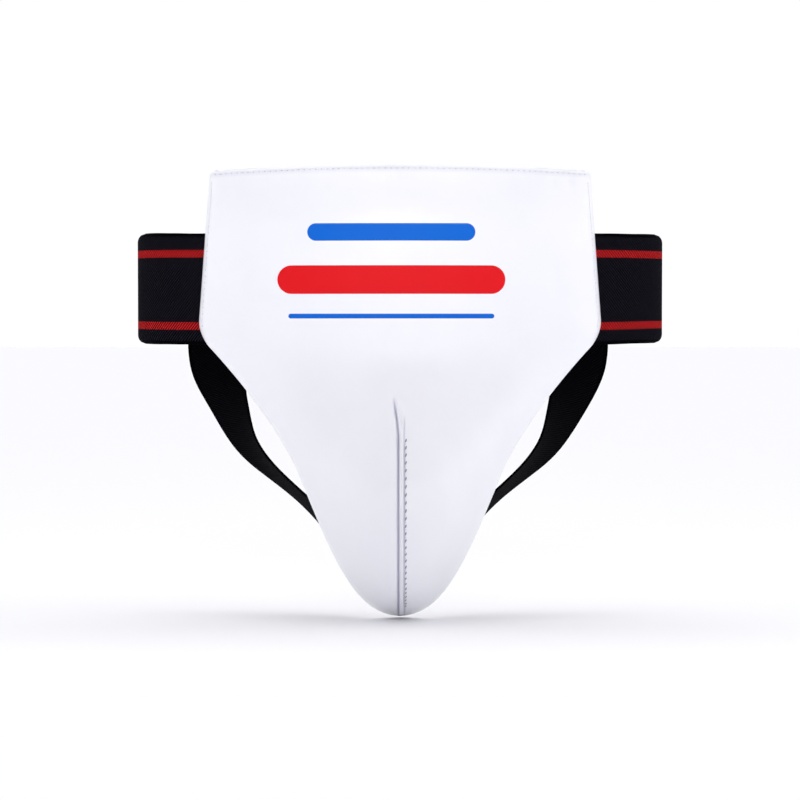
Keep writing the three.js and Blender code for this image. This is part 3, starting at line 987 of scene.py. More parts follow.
@dataclass(frozen=True)
class Fades:
    """Over what heights the seam gives way to the dart, and the dart's two folds end, in millimetres.

    The first two run from below the seam's top to above it. The last two are measured up from the
    dart's top.
    """

    seam: tuple[float, float]
    dart: tuple[float, float]
    left: tuple[float, float]
    right: tuple[float, float]

    def shares(self, height: Array, seam_top: float, dart_top: float) -> tuple[Array, ...]:
        """How present the seam, the dart and its left and right folds are at each height."""
        pairs = ((seam_top, self.seam), (seam_top, self.dart), (dart_top, self.left), (dart_top, self.right))
        seam, dart, left, right = (
            smoothstep(height, top + start * MM, top + end * MM) for top, (start, end) in pairs
        )
        return 1 - seam, dart, 1 - left, 1 - right


RELIEF_FADES = Fades((-6, 4), (-8, 2), (-8, 2), (-16, -7))
SHADE_FADES = Fades((-3, 5), (-3, 5), (-8, 1), (-17, -9))


@dataclass
class Pad:
    """The covered pad: cover, lining, the cushioned mouth of the cup, and their stitching."""

    shape: PadShape
    body: str = "pad"
    seam_top: float = 116 * MM
    dart_top: float = 142 * MM
    seam_stitch: float = 3.7 * MM
    seam_pitch: float = 5 * MM
    pucker: float = 0.12 * MM
    ruffle: float = 0.35 * MM
    top_stitch: float = 2.3 * MM
    side_stitch: float = 2.0 * MM
    middle_columns: int = 16
    middle_step: float = 0.4 * MM
    side_columns: int = 38
    hem: tuple[tuple[float, float], ...] = (
        (0.15 * MM, 0.3 * MM),
        (0.8 * MM, 0.55 * MM),
        (3.5 * MM, 0.6 * MM),
        (6.6 * MM, 0.55 * MM),
        (7.0 * MM, 0.1 * MM),
    )
    mouth_top: float = 138 * MM
    mouth_widest: float = 100 * MM
    mouth_half: float = 45 * MM
    mouth_bottom: float = 57 * MM
    cushion_width: float = 10 * MM
    cushion_height: float = 6 * MM
    stitching: Stitching = field(default_factory=Stitching)

    def rows(self) -> Array:
        """Distances of the cover's rows along its outline: close at the turned top edge."""
        start = np.array([0, 0.4, 0.9, 1.5, 2.2, 3.0, 4.0, 5.2]) * MM
        total = length_of(self.shape.line)
        rest = np.linspace(start[-1], total, 140)[1:]
        return np.r_[start, rest]

    def relief(self, x: Array, z: Array) -> Array:
        """How far the seam, dart, hem and soft unevenness stand out from the plain face.

        Args:
            x: Each point's X.
            z: Each point's Z.

        Returns:
            The offset along the normal.
        """
        height = z - self.shape.tip
        seam, dart, left_end, right_end = RELIEF_FADES.shares(height, self.seam_top, self.dart_top)
        left, right = self.dart_lines(height)
        welt = sum(fold.stands(x, 0.0) for fold in SEAM_FOLDS) * smoothstep(height, 0.5 * MM, 7 * MM)
        fold = sum(fold.stands(x, left) for fold in LEFT_FOLDS)
        pleat = RIGHT_FOLDS[0].stands(x, right) + VALLEY.stands(x, 0.5 * (left + right))
        stitch = np.sin(height * 2 * math.pi / self.seam_pitch)
        pucker = self.pucker * stitch * bump_at(x, self.seam_stitch, 2 * MM)
        raised = seam * (welt + pucker) + dart * (left_end * fold + right_end * pleat)
        side, top = self.shape.rim_distance(x, z)
        near_top = -0.5 * MM * bump_at(top, self.top_stitch, 0.8 * MM)
        flank = height > self.shape.hip + 2 * MM
        near_side = -0.35 * MM * bump_at(side, self.side_stitch, 0.8 * MM) * flank
        ruffle = self.ruffle * np.sin(x * 2 * math.pi / (11 * MM)) * bump_at(top, 7 * MM, 5 * MM)
        calm = smoothstep(np.minimum(side, top), 2 * MM, 14 * MM)
        soft = 0.5 * MM * slow_noise(x, z, 34 * MM, 3.0) + 0.22 * MM * slow_noise(x, z, 12 * MM, 9.0)
        return raised + near_top + near_side + ruffle + calm * soft

    def dart_lines(self, height: Array) -> tuple[Array, Array]:
        """X of the dart's two folds at each height."""
        up = np.clip((height - self.seam_top) / (self.dart_top - self.seam_top), 0, 1)
        return 0.9 * MM - 3.2 * MM * up**1.5, 1.4 * MM + 0.8 * MM * up

    def painted_crease_shade(self, x: Array, z: Array) -> Array:
        """How much shade is painted at each place, from 0 to 1: in the seam's grooves, the dart's folds and
        along the top stitch line.
        """
        height = z - self.shape.tip
        seam, dart, left_end, right_end = SHADE_FADES.shares(height, self.seam_top, self.dart_top)
        left, right = self.dart_lines(height)
        grooves = sum(fold.painted_shade_at(x, 0.0) for fold in SEAM_FOLDS)
        folds = left_end * sum(fold.painted_shade_at(x, left) for fold in LEFT_FOLDS)
        folds = folds + right_end * sum(fold.painted_shade_at(x, right) for fold in RIGHT_FOLDS)
        _, top = self.shape.rim_distance(x, z)
        # Painted shade along the top edge, over its stitch line.
        edge = 0.3 * bump_at(top, self.top_stitch, 0.7 * MM)
        return np.clip(seam * grooves + dart * folds + edge, 0, 1)

    def cover(self) -> bpy.types.Object:
        """Builds the front cover with its turned hem.

        Returns:
            The cover, with the shade painted into its creases kept in an attribute for the print's material.
        """
        shape, rows = self.shape, self.rows()
        turns = len(self.hem)
        steps = len(rows) - 1
        middle = self.middle_columns
        wing = middle + self.side_columns
        edge = shape.inset(rows, 0.0)

        def lay(u: Array, v: Array) -> Array:
            """Lays the face, and turns the points past its rim round to the back as the hem."""
            column = u - wing - turns
            row = v - turns
            over = np.maximum(np.maximum(np.abs(column) - wing, -row), 0)
            side = np.sign(column)
            count = np.minimum(np.abs(column), wing)
            row = np.clip(row, 0, steps)
            half, height = edge[row, 0], edge[row, 1]
            inner = np.minimum(middle * self.middle_step, half * 0.5)
            share = np.clip((count - middle) / self.side_columns, 0, 1)
            outer = inner + (half - inner) * (1 - (1 - share) ** 1.6)
            x = side * np.where(count <= middle, inner * count / middle, outer)
            fade = np.clip(1 - (edge[0, 1] - height) / (90 * MM), 0, 1)
            across = np.abs(x) / np.maximum(half, 1e-6)
            z = height + shape.sag * fade * (1 - across**2)
            face = np.stack([x, shape.front_at(x, z), z], 1)
            face += shape.normal_at(x, z) * self.relief(x, z)[:, None]
            at = np.nonzero(over)[0]
            along_top = np.abs(column[at]) <= wing
            rim_x, rim_z = x[at], z[at]
            low = shape.inset(rows[row[at]], 0.5 * MM)
            inward = np.stack([side[at] * (low[:, 0] - edge[row[at], 0]), low[:, 1] - edge[row[at], 1]], 1)
            inward[along_top] = (0, -1)
            corner = (v[at] < turns) & (np.abs(column[at]) >= wing)
            inward[corner] = np.stack([-side[at][corner] * 0.7, np.full(corner.sum(), -0.7)], 1)
            inward = unit(inward)
            turn = np.array(self.hem)[over[at] - 1]
            hem_x = rim_x + inward[:, 0] * turn[:, 0]
            hem_z = rim_z + inward[:, 1] * turn[:, 0]
            crossed = (np.sign(hem_x) * side[at] < 0) & ~along_top
            hem_x[crossed] = 0
            face[at, 0] = hem_x
            face[at, 1] = shape.back_at(hem_x, hem_z) + turn[:, 1]
            face[at, 2] = hem_z
            return face

        piece = sheet("pad_cover", steps + turns, 2 * (wing + turns), lay, FRONTWARD, 0.7 * MM)
        points = points_of(piece)
        # The shade painted into the creases goes to the material as a point attribute.
        layer = piece.data.attributes.new("painted_crease_shade", "FLOAT", "POINT")
        layer.data.foreach_set("value", self.painted_crease_shade(points[:, 0], points[:, 2]).astype(np.float32))
        return piece

    def mouth(self, count: int, out: float) -> Array:
        """The mouth of the cup as a closed egg of points, moved outwards.

        Args:
            count: How many points.
            out: How far outwards.

        Returns:
            X and Z of each point, from the top, clockwise seen from the front.
        """
        tip, half = self.shape.tip, self.mouth_half
        high = self.mouth_top - self.mouth_widest
        drop = self.mouth_widest - self.mouth_bottom
        upper = bezier(
            [
                (0, tip + self.mouth_top),
                (half * 0.62, tip + self.mouth_top),
                (half, tip + self.mouth_widest + 0.6 * high),
                (half, tip + self.mouth_widest),
            ],
            60,
        )
        lower = bezier(
            [
                (half, tip + self.mouth_widest),
                (half * 0.88, tip + self.mouth_widest - drop * 0.44),
                (half * 0.52, tip + self.mouth_bottom),
                (0, tip + self.mouth_bottom),
            ],
            60,
        )
        right = np.vstack([upper, lower[1:]])
        loop = np.vstack([right, right[-2:0:-1] * [-1, 1], right[:1]])
        at = spaced(loop, np.arange(count) / count * length_of(loop))
        along = unit(np.roll(at, -1, 0) - np.roll(at, 1, 0))
        return at + np.stack([-along[:, 1], along[:, 0]], 1) * out

    def rim(self, count: int, by: float) -> Array:
        """The pad's outline as a closed loop of points, moved inwards, from the middle of its top."""
        half_line = length_of(self.shape.line)
        places = np.linspace(0, half_line, 400)
        right = self.shape.inset(places, by)
        right[-1, 0] = 0
        reach = np.linspace(0, right[0, 0], 40)
        top = self.shape.top - by - self.shape.sag * (reach / self.shape.top_half) ** 2
        side = np.vstack([np.stack([reach, top], 1)[:-1], right])
        loop = np.vstack([side, side[-2:0:-1] * [-1, 1], side[:1]])
        return spaced(loop, np.arange(count) / count * length_of(loop))

    def lining(self) -> bpy.types.Object:
        """Builds the fabric back of the pad, from under the hem to the mouth of the cup."""
        count, rings = 240, 26
        outer, inner = self.rim(count, 5.2 * MM), self.mouth(count, 0.0)

        def lay(u: Array, v: Array) -> Array:
            """Lays rings from the mouth, where the fabric tucks in, out to the hem."""
            share = v / rings
            at = inner[u % count] * (1 - share[:, None]) + outer[u % count] * share[:, None]
            x, z = at[:, 0], at[:, 1]
            y = self.shape.back_at(x, z) + 0.15 * MM
            y += 0.3 * MM * slow_noise(x, z, 28 * MM, 5.0) * np.sin(share * math.pi)
            tuck = np.where(v == 0, 2.5 * MM, 0)
            return np.stack([x, y - tuck, z], 1)

        return sheet("back_lining", rings, count, lay, BACKWARD, 0.8 * MM, degrees=50)

    def cushion(self) -> bpy.types.Object:
        """Builds the padded bead around the mouth of the cup."""
        around, section = 220, 16
        bpy.ops.object.select_all(action="DESELECT")
        bpy.ops.mesh.primitive_torus_add(
            major_segments=around, minor_segments=section, major_radius=1, minor_radius=0.25
        )
        piece = fresh("rim_cushion_bead")
        loop = self.mouth(around, self.cushion_width / 2 + 0.5 * MM)
        along = unit(np.roll(loop, -1, 0) - np.roll(loop, 1, 0))
        out = np.stack([-along[:, 1], along[:, 0]], 1)
        points = []
        for vertex in piece.data.vertices:
            x, y, z = vertex.co
            place = int(round(math.atan2(y, x) / (2 * math.pi) * around)) % around
            turn = math.atan2(z, math.hypot(x, y) - 1)
            across = math.copysign(abs(math.cos(turn)) ** 0.8, math.cos(turn)) * self.cushion_width / 2
            up = (math.copysign(abs(math.sin(turn)) ** 0.9, math.sin(turn)) + 0.8) * self.cushion_height / 2
            puff = 1 + 0.05 * math.sin(place * 2 * math.pi / 11) + 0.04 * math.sin(place * 2 * math.pi / 7.3)
            at = loop[place] + out[place] * across
            base = float(self.shape.back_at(at[0], at[1]))
            points.append((at[0], base + up * puff, at[1]))
        move_points(piece, points)
        tidy(piece, 0.001 * MM)
        smooth(piece, 80)
        return piece

    def bowl(self) -> bpy.types.Object:
        """Builds the soft lining inside the cup, seen through its mouth."""
        count, rings = 160, 26
        rim = self.mouth(count, 1.5 * MM)
        centre = np.array([0, self.shape.tip + 92 * MM])

        def lay(u: Array, v: Array) -> Array:
            """Lays rings from the bottom of the hollow up its wall to the mouth."""
            share = (v / rings)[:, None]
            at = centre * (1 - share) + rim[u % count] * share
            x, z = at[:, 0], at[:, 1]
            reach = v / rings
            deep = self.shape.front_at(x, z) + 15 * MM
            mouth = self.shape.back_at(x, z) - 0.8 * MM
            wall = smoothstep(reach, 0.72, 1.0)
            return np.stack([x, deep + (mouth - deep) * wall, z], 1)

        return sheet("cup_lining", rings, count, lay, BACKWARD, 1.0 * MM)

    def sew(self, looks: "Looks", names: str, x: Array, z: Array, seam: Seam, *nodes: str) -> None:
        """Sews one row through the cover.

        Args:
            looks: The finishes.
            names: The pieces' name, with a place in it for what the piece is.
            x: X of points along the row.
            z: Z of the same points.
            seam: The row's stitches.
            *nodes: The frame's nodes that the thread stands for.
        """
        normal = self.shape.normal_at(x, z)
        line = np.stack([x, self.shape.front_at(x, z), z], 1) + normal * self.relief(x, z)[:, None]
        thread = self.stitching.row(names.format("stitches"), line, normal, seam.pitch, seam.lift)
        dress(thread, looks.white_thread, "white_thread", *nodes)
        hang(thread, self.body)
        # Grey beads at the needle holes: painted shade.
        holes = self.stitching.holes(names.format("holes"), line, normal, seam.pitch, seam.hole)
        dress(holes, looks.needle_hole_shade, "coated_fabric")
        hang(holes, self.body)

    def stitches(self, looks: "Looks") -> None:
        """Sews the top edge, the centre seam, the side edges and the hem."""
        shape = self.shape
        x = np.linspace(-1, 1, 160) * (shape.top_half - 4 * MM)
        z = shape.top - shape.sag * (x / shape.top_half) ** 2 - self.top_stitch
        self.sew(looks, "top_edge_{}", x, z, Seam(3.7 * MM, 0.2 * MM, 0.55 * MM), "top_edge_thread")
        z = np.linspace(shape.tip + 115.5 * MM, shape.tip + 9 * MM, 140)
        x = np.full_like(z, self.seam_stitch)
        seam = Seam(self.seam_pitch, 0.15 * MM, 1.4 * MM)
        self.sew(looks, "centre_seam_{}", x, z, seam, "centre_seam_thread")
        for side in Side:
            at = shape.inset(np.linspace(10 * MM, 102 * MM, 80), self.side_stitch)
            seam = Seam(3.9 * MM, 0.15 * MM, 0.4 * MM)
            self.sew(looks, f"side_edge_{{}}_{side.word}", side.value * at[:, 0], at[:, 1], seam)
        loop = np.vstack([self.rim(300, 5.6 * MM)] * 2)[: 300 + 1]
        y = shape.back_at(loop[:, 0], loop[:, 1]) + 0.65 * MM
        line = np.stack([loop[:, 0], y, loop[:, 1]], 1)
        facing = np.tile([0.0, 1.0, 0.0], (len(line), 1))
        hem = self.stitching.row("hem_stitches", line, facing, 4.0 * MM, 0.15 * MM)
        dress(hem, looks.white_thread, "white_thread")
        hang(hem, self.body)

    def build(self, looks: "Looks") -> None:
        """Builds and dresses the whole pad."""
        for piece, finish, slot, node, fill in (
            (self.cover(), looks.cover, "coated_fabric", "front_cover", 0.55),
            (self.lining(), looks.lining, "lining_fabric", "rear_lining", None),
            (self.cushion(), looks.coated, "coated_fabric", "rim_cushion", 0.7),
            (self.bowl(), looks.lining, "lining_fabric", "cup_liner", None),
        ):
            dress(piece, finish, slot, node)
            hang(piece, self.body)
        self.stitches(looks)


# ---------------------------------------------------------------------------------------------
# The webbing
# ---------------------------------------------------------------------------------------------
@dataclass
class Webbing:
    """A length of woven elastic, laid along a spine."""

    width: float
    wall: float
    rows: int

    def lay(
        self, name: str, spine: Array, across: Array, shift: Callable[[Array, Array], Array] | None = None
    ) -> bpy.types.Object:
        """Lays the webbing.

        Args:
            name: The piece's name.
            spine: Points along its middle line.
            across: A unit vector across it at each point.
            shift: Takes the station numbers and the shares across from -1 to 1, and returns an offset.

        Returns:
            The webbing with its thickness and a weave map.
        """
        stations = len(spine) - 1
        lengths = np.r_[0, np.cumsum(np.linalg.norm(np.diff(spine, axis=0), axis=1))]

        def place(u: Array, v: Array) -> Array:
            """Lays the stations along the spine and the rows across it."""
            share = 2 * v / self.rows - 1
            at = spine[u] + across[u] * (share * self.width / 2)[:, None]
            return at if shift is None else at + shift(u, share)

        piece = grid(name, self.rows, stations, place)
        weave_map(piece, stations, lengths, np.linspace(-1, 1, self.rows + 1) * self.width / 2)
        modify(piece, "SOLIDIFY", thickness=self.wall, offset=0.0)
        modify(piece, "BEVEL", width=self.wall * 0.3, segments=2, limit_method="ANGLE", angle_limit=1.0)
        smooth(piece, 50)
        return piece


@dataclass
class Waistband:
    """The waist elastic: two halves, each sewn behind the pad's side edge and folding back behind it."""

    shape: PadShape
    height: float = 70 * MM
    wall: float = 1.8 * MM
    lap: float = 26 * MM
    fold_half: float = 170 * MM
    fold_y: float = 12.5 * MM
    rear_flat: float = 70 * MM
    corner: float = 5 * MM
    stitching: Stitching = field(default_factory=Stitching)

    def spine(self, rear: float) -> Array:
        """The right half's middle line in plan, from under the pad to the back.

        Args:
            rear: Y of the straight run at the back.

        Returns:
            Points in X and Y.
        """
        lift = self.wall / 2 + 0.7 * MM
        hinge = self.shape.half + 0.3 * MM
        inner = np.linspace(hinge - self.lap, hinge, 14)
        sewn = np.stack([inner, self.shape.back + self.shape.wrap * inner**2 + lift], 1)
        slope = 2 * self.shape.wrap * hinge
        reach = self.fold_half - hinge
        start = sewn[-1]
        front = bezier(
            [
                start,
                (hinge + reach * 0.5, start[1] + slope * reach * 0.5),
                (self.fold_half, self.fold_y - 20 * MM),
                (self.fold_half, self.fold_y),
            ],
            60,
        )
        turn = bezier(
            [
                (self.fold_half, self.fold_y),
                (self.fold_half, self.fold_y + 27 * MM),
                (self.rear_flat + 52 * MM, rear),
                (self.rear_flat, rear),
            ],
            60,
        )
        back = np.array([[self.rear_flat, rear], [0.4 * MM, rear]])
        return np.vstack([sewn, front[1:], turn[1:], back[1:]])

    def build(self, looks: "Looks") -> None:
        """Builds and dresses both halves, and sews each half's end."""
        for side in Side:
            word = side.word
            _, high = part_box(f"waistband_{word}")
            plan = self.spine(high.y - self.wall / 2)
            plan = spaced(plan, np.linspace(0, length_of(plan), 170))
            spine = np.stack([plan[:, 0] * side.value, plan[:, 1], np.zeros(len(plan))], 1)
            across = np.tile([0.0, 0.0, 1.0], (len(spine), 1))
            hinge = self.shape.half

            def shift(u: Array, share: Array) -> Array:
                """Draws the fold's corners in, and lets the elastic wave a little."""
                past = np.clip(plan[u, 0] - hinge, 0, None) / (self.fold_half - hinge)
                near = np.clip(1 - (1 - np.abs(share)) * self.height / 2 / self.corner, 0, 1)
                inwards = -side.value * past**2 * (1 - np.sqrt(1 - near**2)) * self.corner
                wave = 0.7 * MM * np.sin(plan[u, 0] / (23 * MM) + 2.0 * share + 1.7) * np.clip(past * 4, 0, 1)
                rise = 0.35 * MM * np.sin(plan[u, 0] / (17 * MM) + side.value) * np.clip(past * 3, 0, 1)
                sag = 1.2 * MM * (1 - np.clip(past, 0, 1)) * (u < 90) * (share < 0)
                return np.stack([inwards, wave, rise * share + sag * share], 1)

            piece = Webbing(self.height, self.wall, 56).lay(f"waist_elastic_{word}", spine, across, shift)
            dress(piece, looks.waist_elastic, "elastic", f"waistband_{word}", f"band_end_{word}")
            body = f"band_{word}"
            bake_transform(piece)
            report(piece, body)
            self.sew(side, looks)

    def sew(self, side: Side, looks: "Looks") -> None:
        """Sews the half's end behind the pad with a long box of stitches."""
        inner, outer = self.shape.half - self.lap + 5 * MM, self.shape.half - 7 * MM
        reach = ((outer - inner) / 2, self.height / 2 - 4 * MM)

        def place(across: Array, up: Array) -> tuple[Array, Array]:
            """Lays the box on the curved end."""
            x = (inner + outer) / 2 + across
            y = self.shape.back + self.shape.wrap * x**2 + self.wall + 0.8 * MM
            slope = -side.value * 2 * self.shape.wrap * x
            return np.stack([x * side.value, y, up], 1), unit(np.stack([slope, x * 0 + 1, x * 0], 1))

        name = f"band_stitches_{side.word}"
        piece = self.stitching.box(name, BOX, reach, place, 3.4 * MM, 0.12 * MM, 300)
        dress(piece, looks.black_thread, "black_thread", f"band_seam_{side.word}")
        hang(piece, "pad")


@dataclass
class LegStraps:
    """The two leg straps: sewn to the tail, twisting up behind the thigh to the back of the waistband."""

    shape: PadShape
    width: float = 38 * MM
    wall: float = 1.5 * MM
    lap: float = 29 * MM
    # How far in each strap hangs from its middle line in the frame, in millimetres.
    inwards: dict[Side, float] = field(default_factory=lambda: {Side.RIGHT: 4.5, Side.LEFT: 2.0})
    # The sine of the angle at which the band passes behind a strap's upper end.
    seat_lean: float = 0.17
    # How far a strap's middle line lies in front of its box stitches' middle.
    seat_lead: float = 1.35 * MM
    band_low: float = -35 * MM
    tail_low: float = 12 * MM
    tail_high: float = 45 * MM
    tail_lift: float = 2.0 * MM
    # How far from the middle the tail holds the straps.
    tail_hold: float = 18 * MM
    # Along the way: points between two stations, points in all, and the passes that ease its bends
    # and its turns.
    per_span: int = 12
    steps: int = 120
    bend_passes: int = 24
    turn_passes: int = 70
    patch_half: float = 19 * MM
    patch_height: float = 39 * MM
    patch_lift: float = 3.4 * MM
    patch_wall: float = 1.1 * MM
    patch_press: float = 0.35 * MM
    patch_margin: float = 3 * MM
    pitch: float = 3.2 * MM
    stitching: Stitching = field(default_factory=Stitching)

    def tail_seat(self, x: float, lift: float) -> tuple[Array, Array, Array]:
        """Where the strap lies on the back of the tail.

        Args:
            x: Distance from the middle.
            lift: How far it stands off.

        Returns:
            The place, the direction across the strap, and the outward normal.
        """
        low, high = (
            np.array([x, float(self.shape.back_at(x, self.shape.tip + h)), self.shape.tip + h])
            for h in (self.tail_low, self.tail_high)
        )
        across = unit(high - low)
        outward = np.array([0.0, across[2], -across[1]])
        return (low + high) / 2 + outward * lift, across, outward

    def route(self, side: Side) -> tuple[Array, Array]:
        """The strap's middle line and the directions across it."""
        s = side.value
        seat_low, seat_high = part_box(f"strap_seam_{side.word}")
        seat_x = (seat_low.x + seat_high.x) / 2 - s * self.inwards[side] * MM
        seat_y = (seat_low.y + seat_high.y) / 2 - self.seat_lead
        lean = np.array([-s * math.sqrt(1 - self.seat_lean**2), self.seat_lean, 0.0])
        tip = self.shape.tip
        stations = [self.tail_seat(s * x * MM, self.tail_lift)[:2] for x in (3, 12, 20)]
        foot = stations[-1][0][1]
        # Each free station: its distance from the middle, its Y and its height above the tip, in
        # millimetres, and the direction across the strap there.
        free = [
            ((32, foot + 8 * MM, 37.5), (0, -0.74, 0.68)),
            ((45, foot + 19 * MM, 55), (-0.05 * s, -0.93, 0.36)),
            ((65, foot + 33 * MM, 74.5), (-0.12 * s, -0.98, 0.12)),
            ((89, foot + 51 * MM, 96), (-0.27 * s, -0.96, 0.05)),
            ((102.5, foot + 63 * MM, 112), (-0.42 * s, -0.9, 0)),
            ((113.5, foot + 76 * MM, 134), (-0.6 * s, -0.8, 0)),
        ]
        for (x, y, h), turn in free:
            x -= self.inwards[side]
            stations.append((np.array([s * x * MM, y, tip + h * MM]), np.array(turn, float)))
        # Just below the band the strap swings round into line with its seat.
        swing = np.array([seat_x - s * 3.5 * MM, seat_y - 3.5 * MM, tip + 153 * MM])
        stations.append((swing, np.array([-0.8 * s, -0.5, 0])))
        for up in (-8 * MM, 2 * MM, self.lap):
            stations.append((np.array([seat_x, seat_y, self.band_low + up]), lean))
        known = through([at for at, _ in stations], self.per_span)
        turns = through([turn for _, turn in stations], self.per_span)
        places = np.linspace(0, length_of(known), self.steps)
        spine, across = spaced(known, places), carried(known, turns, places)
        held = (np.abs(spine[:, 0]) < self.tail_hold) | (spine[:, 2] > self.band_low - 3 * MM)
        spine = relaxed(spine, held, self.bend_passes)
        across = relaxed(across, held, self.turn_passes)
        along = unit(np.gradient(spine, axis=0))
        across = unit(across - along * np.sum(across * along, 1, keepdims=True))
        return spine, across

    def build(self, looks: "Looks") -> None:
        """Builds and dresses both straps, and builds, dresses and hangs their box stitches and the patch over
        their ends.
        """
        for side in Side:
            word = side.word
            spine, across = self.route(side)
            piece = Webbing(self.width, self.wall, 14).lay(f"leg_elastic_{word}", spine, across)
            dress(piece, looks.leg_elastic, "elastic", f"leg_strap_{word}", f"strap_end_{word}")
            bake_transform(piece)
            report(piece, f"band_{word}")
            low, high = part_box(f"strap_seam_{word}")
            size, middle = high - low, (low + high) / 2
            middle.x -= side.value * self.inwards[side] * MM
            middle.y += self.inwards[side] * self.seat_lean * MM
            lean = side.value * self.seat_lean

            def place(across: Array, up: Array) -> tuple[Array, Array]:
                """Lays the box on the slightly turned seat."""
                line = np.stack([middle.x + across, middle.y - lean * across, middle.z + up], 1)
                return line, np.tile(unit(np.array([lean, 1.0, 0.0])), (len(line), 1))

            name, reach = f"strap_stitches_{word}", (size.x / 2, size.z / 2)
            seam = self.stitching.box(name, CROSSED_BOX, reach, place, self.pitch, -0.3 * MM, 120)
            dress(seam, looks.black_thread, "black_thread", f"strap_seam_{word}")
            hang(seam, f"band_{word}")
        self.anchor(looks)

    def anchor(self, looks: "Looks") -> None:
        """Builds the coated patch sewn over the straps' ends at the tail."""
        rows, columns = 16, 26

        def on_tail(x: Array, up: Array, lift: float, drop: Array | float = 0.0) -> tuple[Array, Array]:
            """Points on the tail and their normals, at places across and up the patch."""
            points, facing = [], []
            for at_x, at_up, at_drop in zip(x, up, np.broadcast_to(drop, x.shape)):
                at, across, outward = self.tail_seat(at_x, lift)
                points.append(at + across * at_up - outward * at_drop)
                facing.append(outward)
            return np.array(points), np.array(facing)

        def lay(u: Array, v: Array) -> Array:
            """Lays the patch, its edges pressed down by the stitches."""
            across, up = 2 * u / columns - 1, 2 * v / rows - 1
            edge = np.maximum(np.abs(across), np.abs(up)) ** 6
            x, z = across * self.patch_half, up * self.patch_height / 2
            return on_tail(x, z, self.patch_lift, edge * self.patch_press)[0]

        wall, bevel = self.patch_wall, 0.3 * MM
        piece = sheet("strap_patch", rows, columns, lay, BACKWARD, wall, bevel, degrees=50)
        dress(piece, looks.coated, "coated_fabric", "strap_anchor")
        hang(piece, "pad")
        reach = (self.patch_half - self.patch_margin, self.patch_height / 2 - self.patch_margin)
        way, place = BOX_AND_DIAGONAL, lambda x, up: on_tail(x, up, self.patch_lift + 0.1 * MM)
        seam = self.stitching.box("patch_stitches", way, reach, place, self.pitch, 0.1 * MM)
        dress(seam, looks.white_thread, "white_thread")
        hang(seam, "pad")


@dataclass
class Closure:
    """The hook-and-loop closure at the back of the waistband."""

    stitching: Stitching = field(default_factory=Stitching)

    def slab(self, name: str, node: str, rounding: float, fuzz: float) -> bpy.types.Object:
        """Builds one flat piece of the closure with rounded corners.

        Args:
            name: The piece's name.
            node: The frame's node that it stands for.
            rounding: The radius of its corners.
            fuzz: How uneven its faces are.

        Returns:
            The piece.
        """
        low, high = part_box(node)
        size, middle = high - low, (low + high) / 2
        bpy.ops.object.select_all(action="DESELECT")
        bpy.ops.mesh.primitive_cube_add(size=1, location=middle, scale=size)
        piece = fresh(name)
        bpy.ops.object.transform_apply(location=True, rotation=True, scale=True)
        bpy.ops.object.mode_set(mode="EDIT")
        bpy.ops.mesh.select_all(action="DESELECT")
        bpy.ops.mesh.select_mode(type="EDGE")
        bpy.ops.object.mode_set(mode="OBJECT")
        for edge in piece.data.edges:
            a, b = (piece.data.vertices[v].co for v in edge.vertices)
            edge.select = abs(a.x - b.x) < 1e-6 and abs(a.z - b.z) < 1e-6
        bpy.ops.object.mode_set(mode="EDIT")
        bpy.ops.mesh.bevel(offset=rounding, segments=6)
        bpy.ops.mesh.select_all(action="SELECT")
        bpy.ops.mesh.quads_convert_to_tris()
        bpy.ops.mesh.subdivide(number_cuts=3)
        bpy.ops.object.mode_set(mode="OBJECT")
        for vertex in piece.data.vertices:
            if fuzz:
                vertex.co.y += fuzz * noise.noise(vertex.co * 900)
        modify(piece, "BEVEL", width=0.25 * MM, segments=2, limit_method="ANGLE", angle_limit=0.9)
        smooth(piece, 45)
        return piece

    def build(self, looks: "Looks") -> None:
        """Builds, dresses and hangs the tab and both patches."""
        tab = self.slab("closure_tab_webbing", "closure_tab", 7 * MM, 0.0)
        low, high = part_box("closure_tab")
        layer = tab.data.uv_layers[0] if tab.data.uv_layers else tab.data.uv_layers.new()
        layer.name = "weave"
        for loop in tab.data.loops:
            co = tab.data.vertices[loop.vertex_index].co
            layer.data[loop.index].uv = (co.x, co.z)
        dress(tab, looks.tab_elastic, "elastic", "closure_tab")
        hang(tab, "tab")
        for name, node, body in (
            ("hook_fastener", "hook_patch", "tab"),
            ("loop_fastener", "loop_patch", "band_left"),
        ):
            patch = self.slab(name, node, 4 * MM, 0.12 * MM)
            dress(patch, looks.fastener, "hook_and_loop", node)
            hang(patch, body)
        size, middle = high - low, (low + high) / 2

        def place(across: Array, up: Array) -> tuple[Array, Array]:
            """Lays the box on the tab's outer face."""
            line = np.stack([middle.x + across, np.full(len(up), high.y), middle.z + up], 1)
            return line, np.tile([0.0, 1.0, 0.0], (len(line), 1))

        reach = (size.x / 2 - 6 * MM, size.z / 2 - 4 * MM)
        seam = self.stitching.box("tab_stitches", BOX, reach, place, 3.4 * MM, 0.1 * MM, 160)
        dress(seam, looks.black_thread, "black_thread")
        hang(seam, "tab")


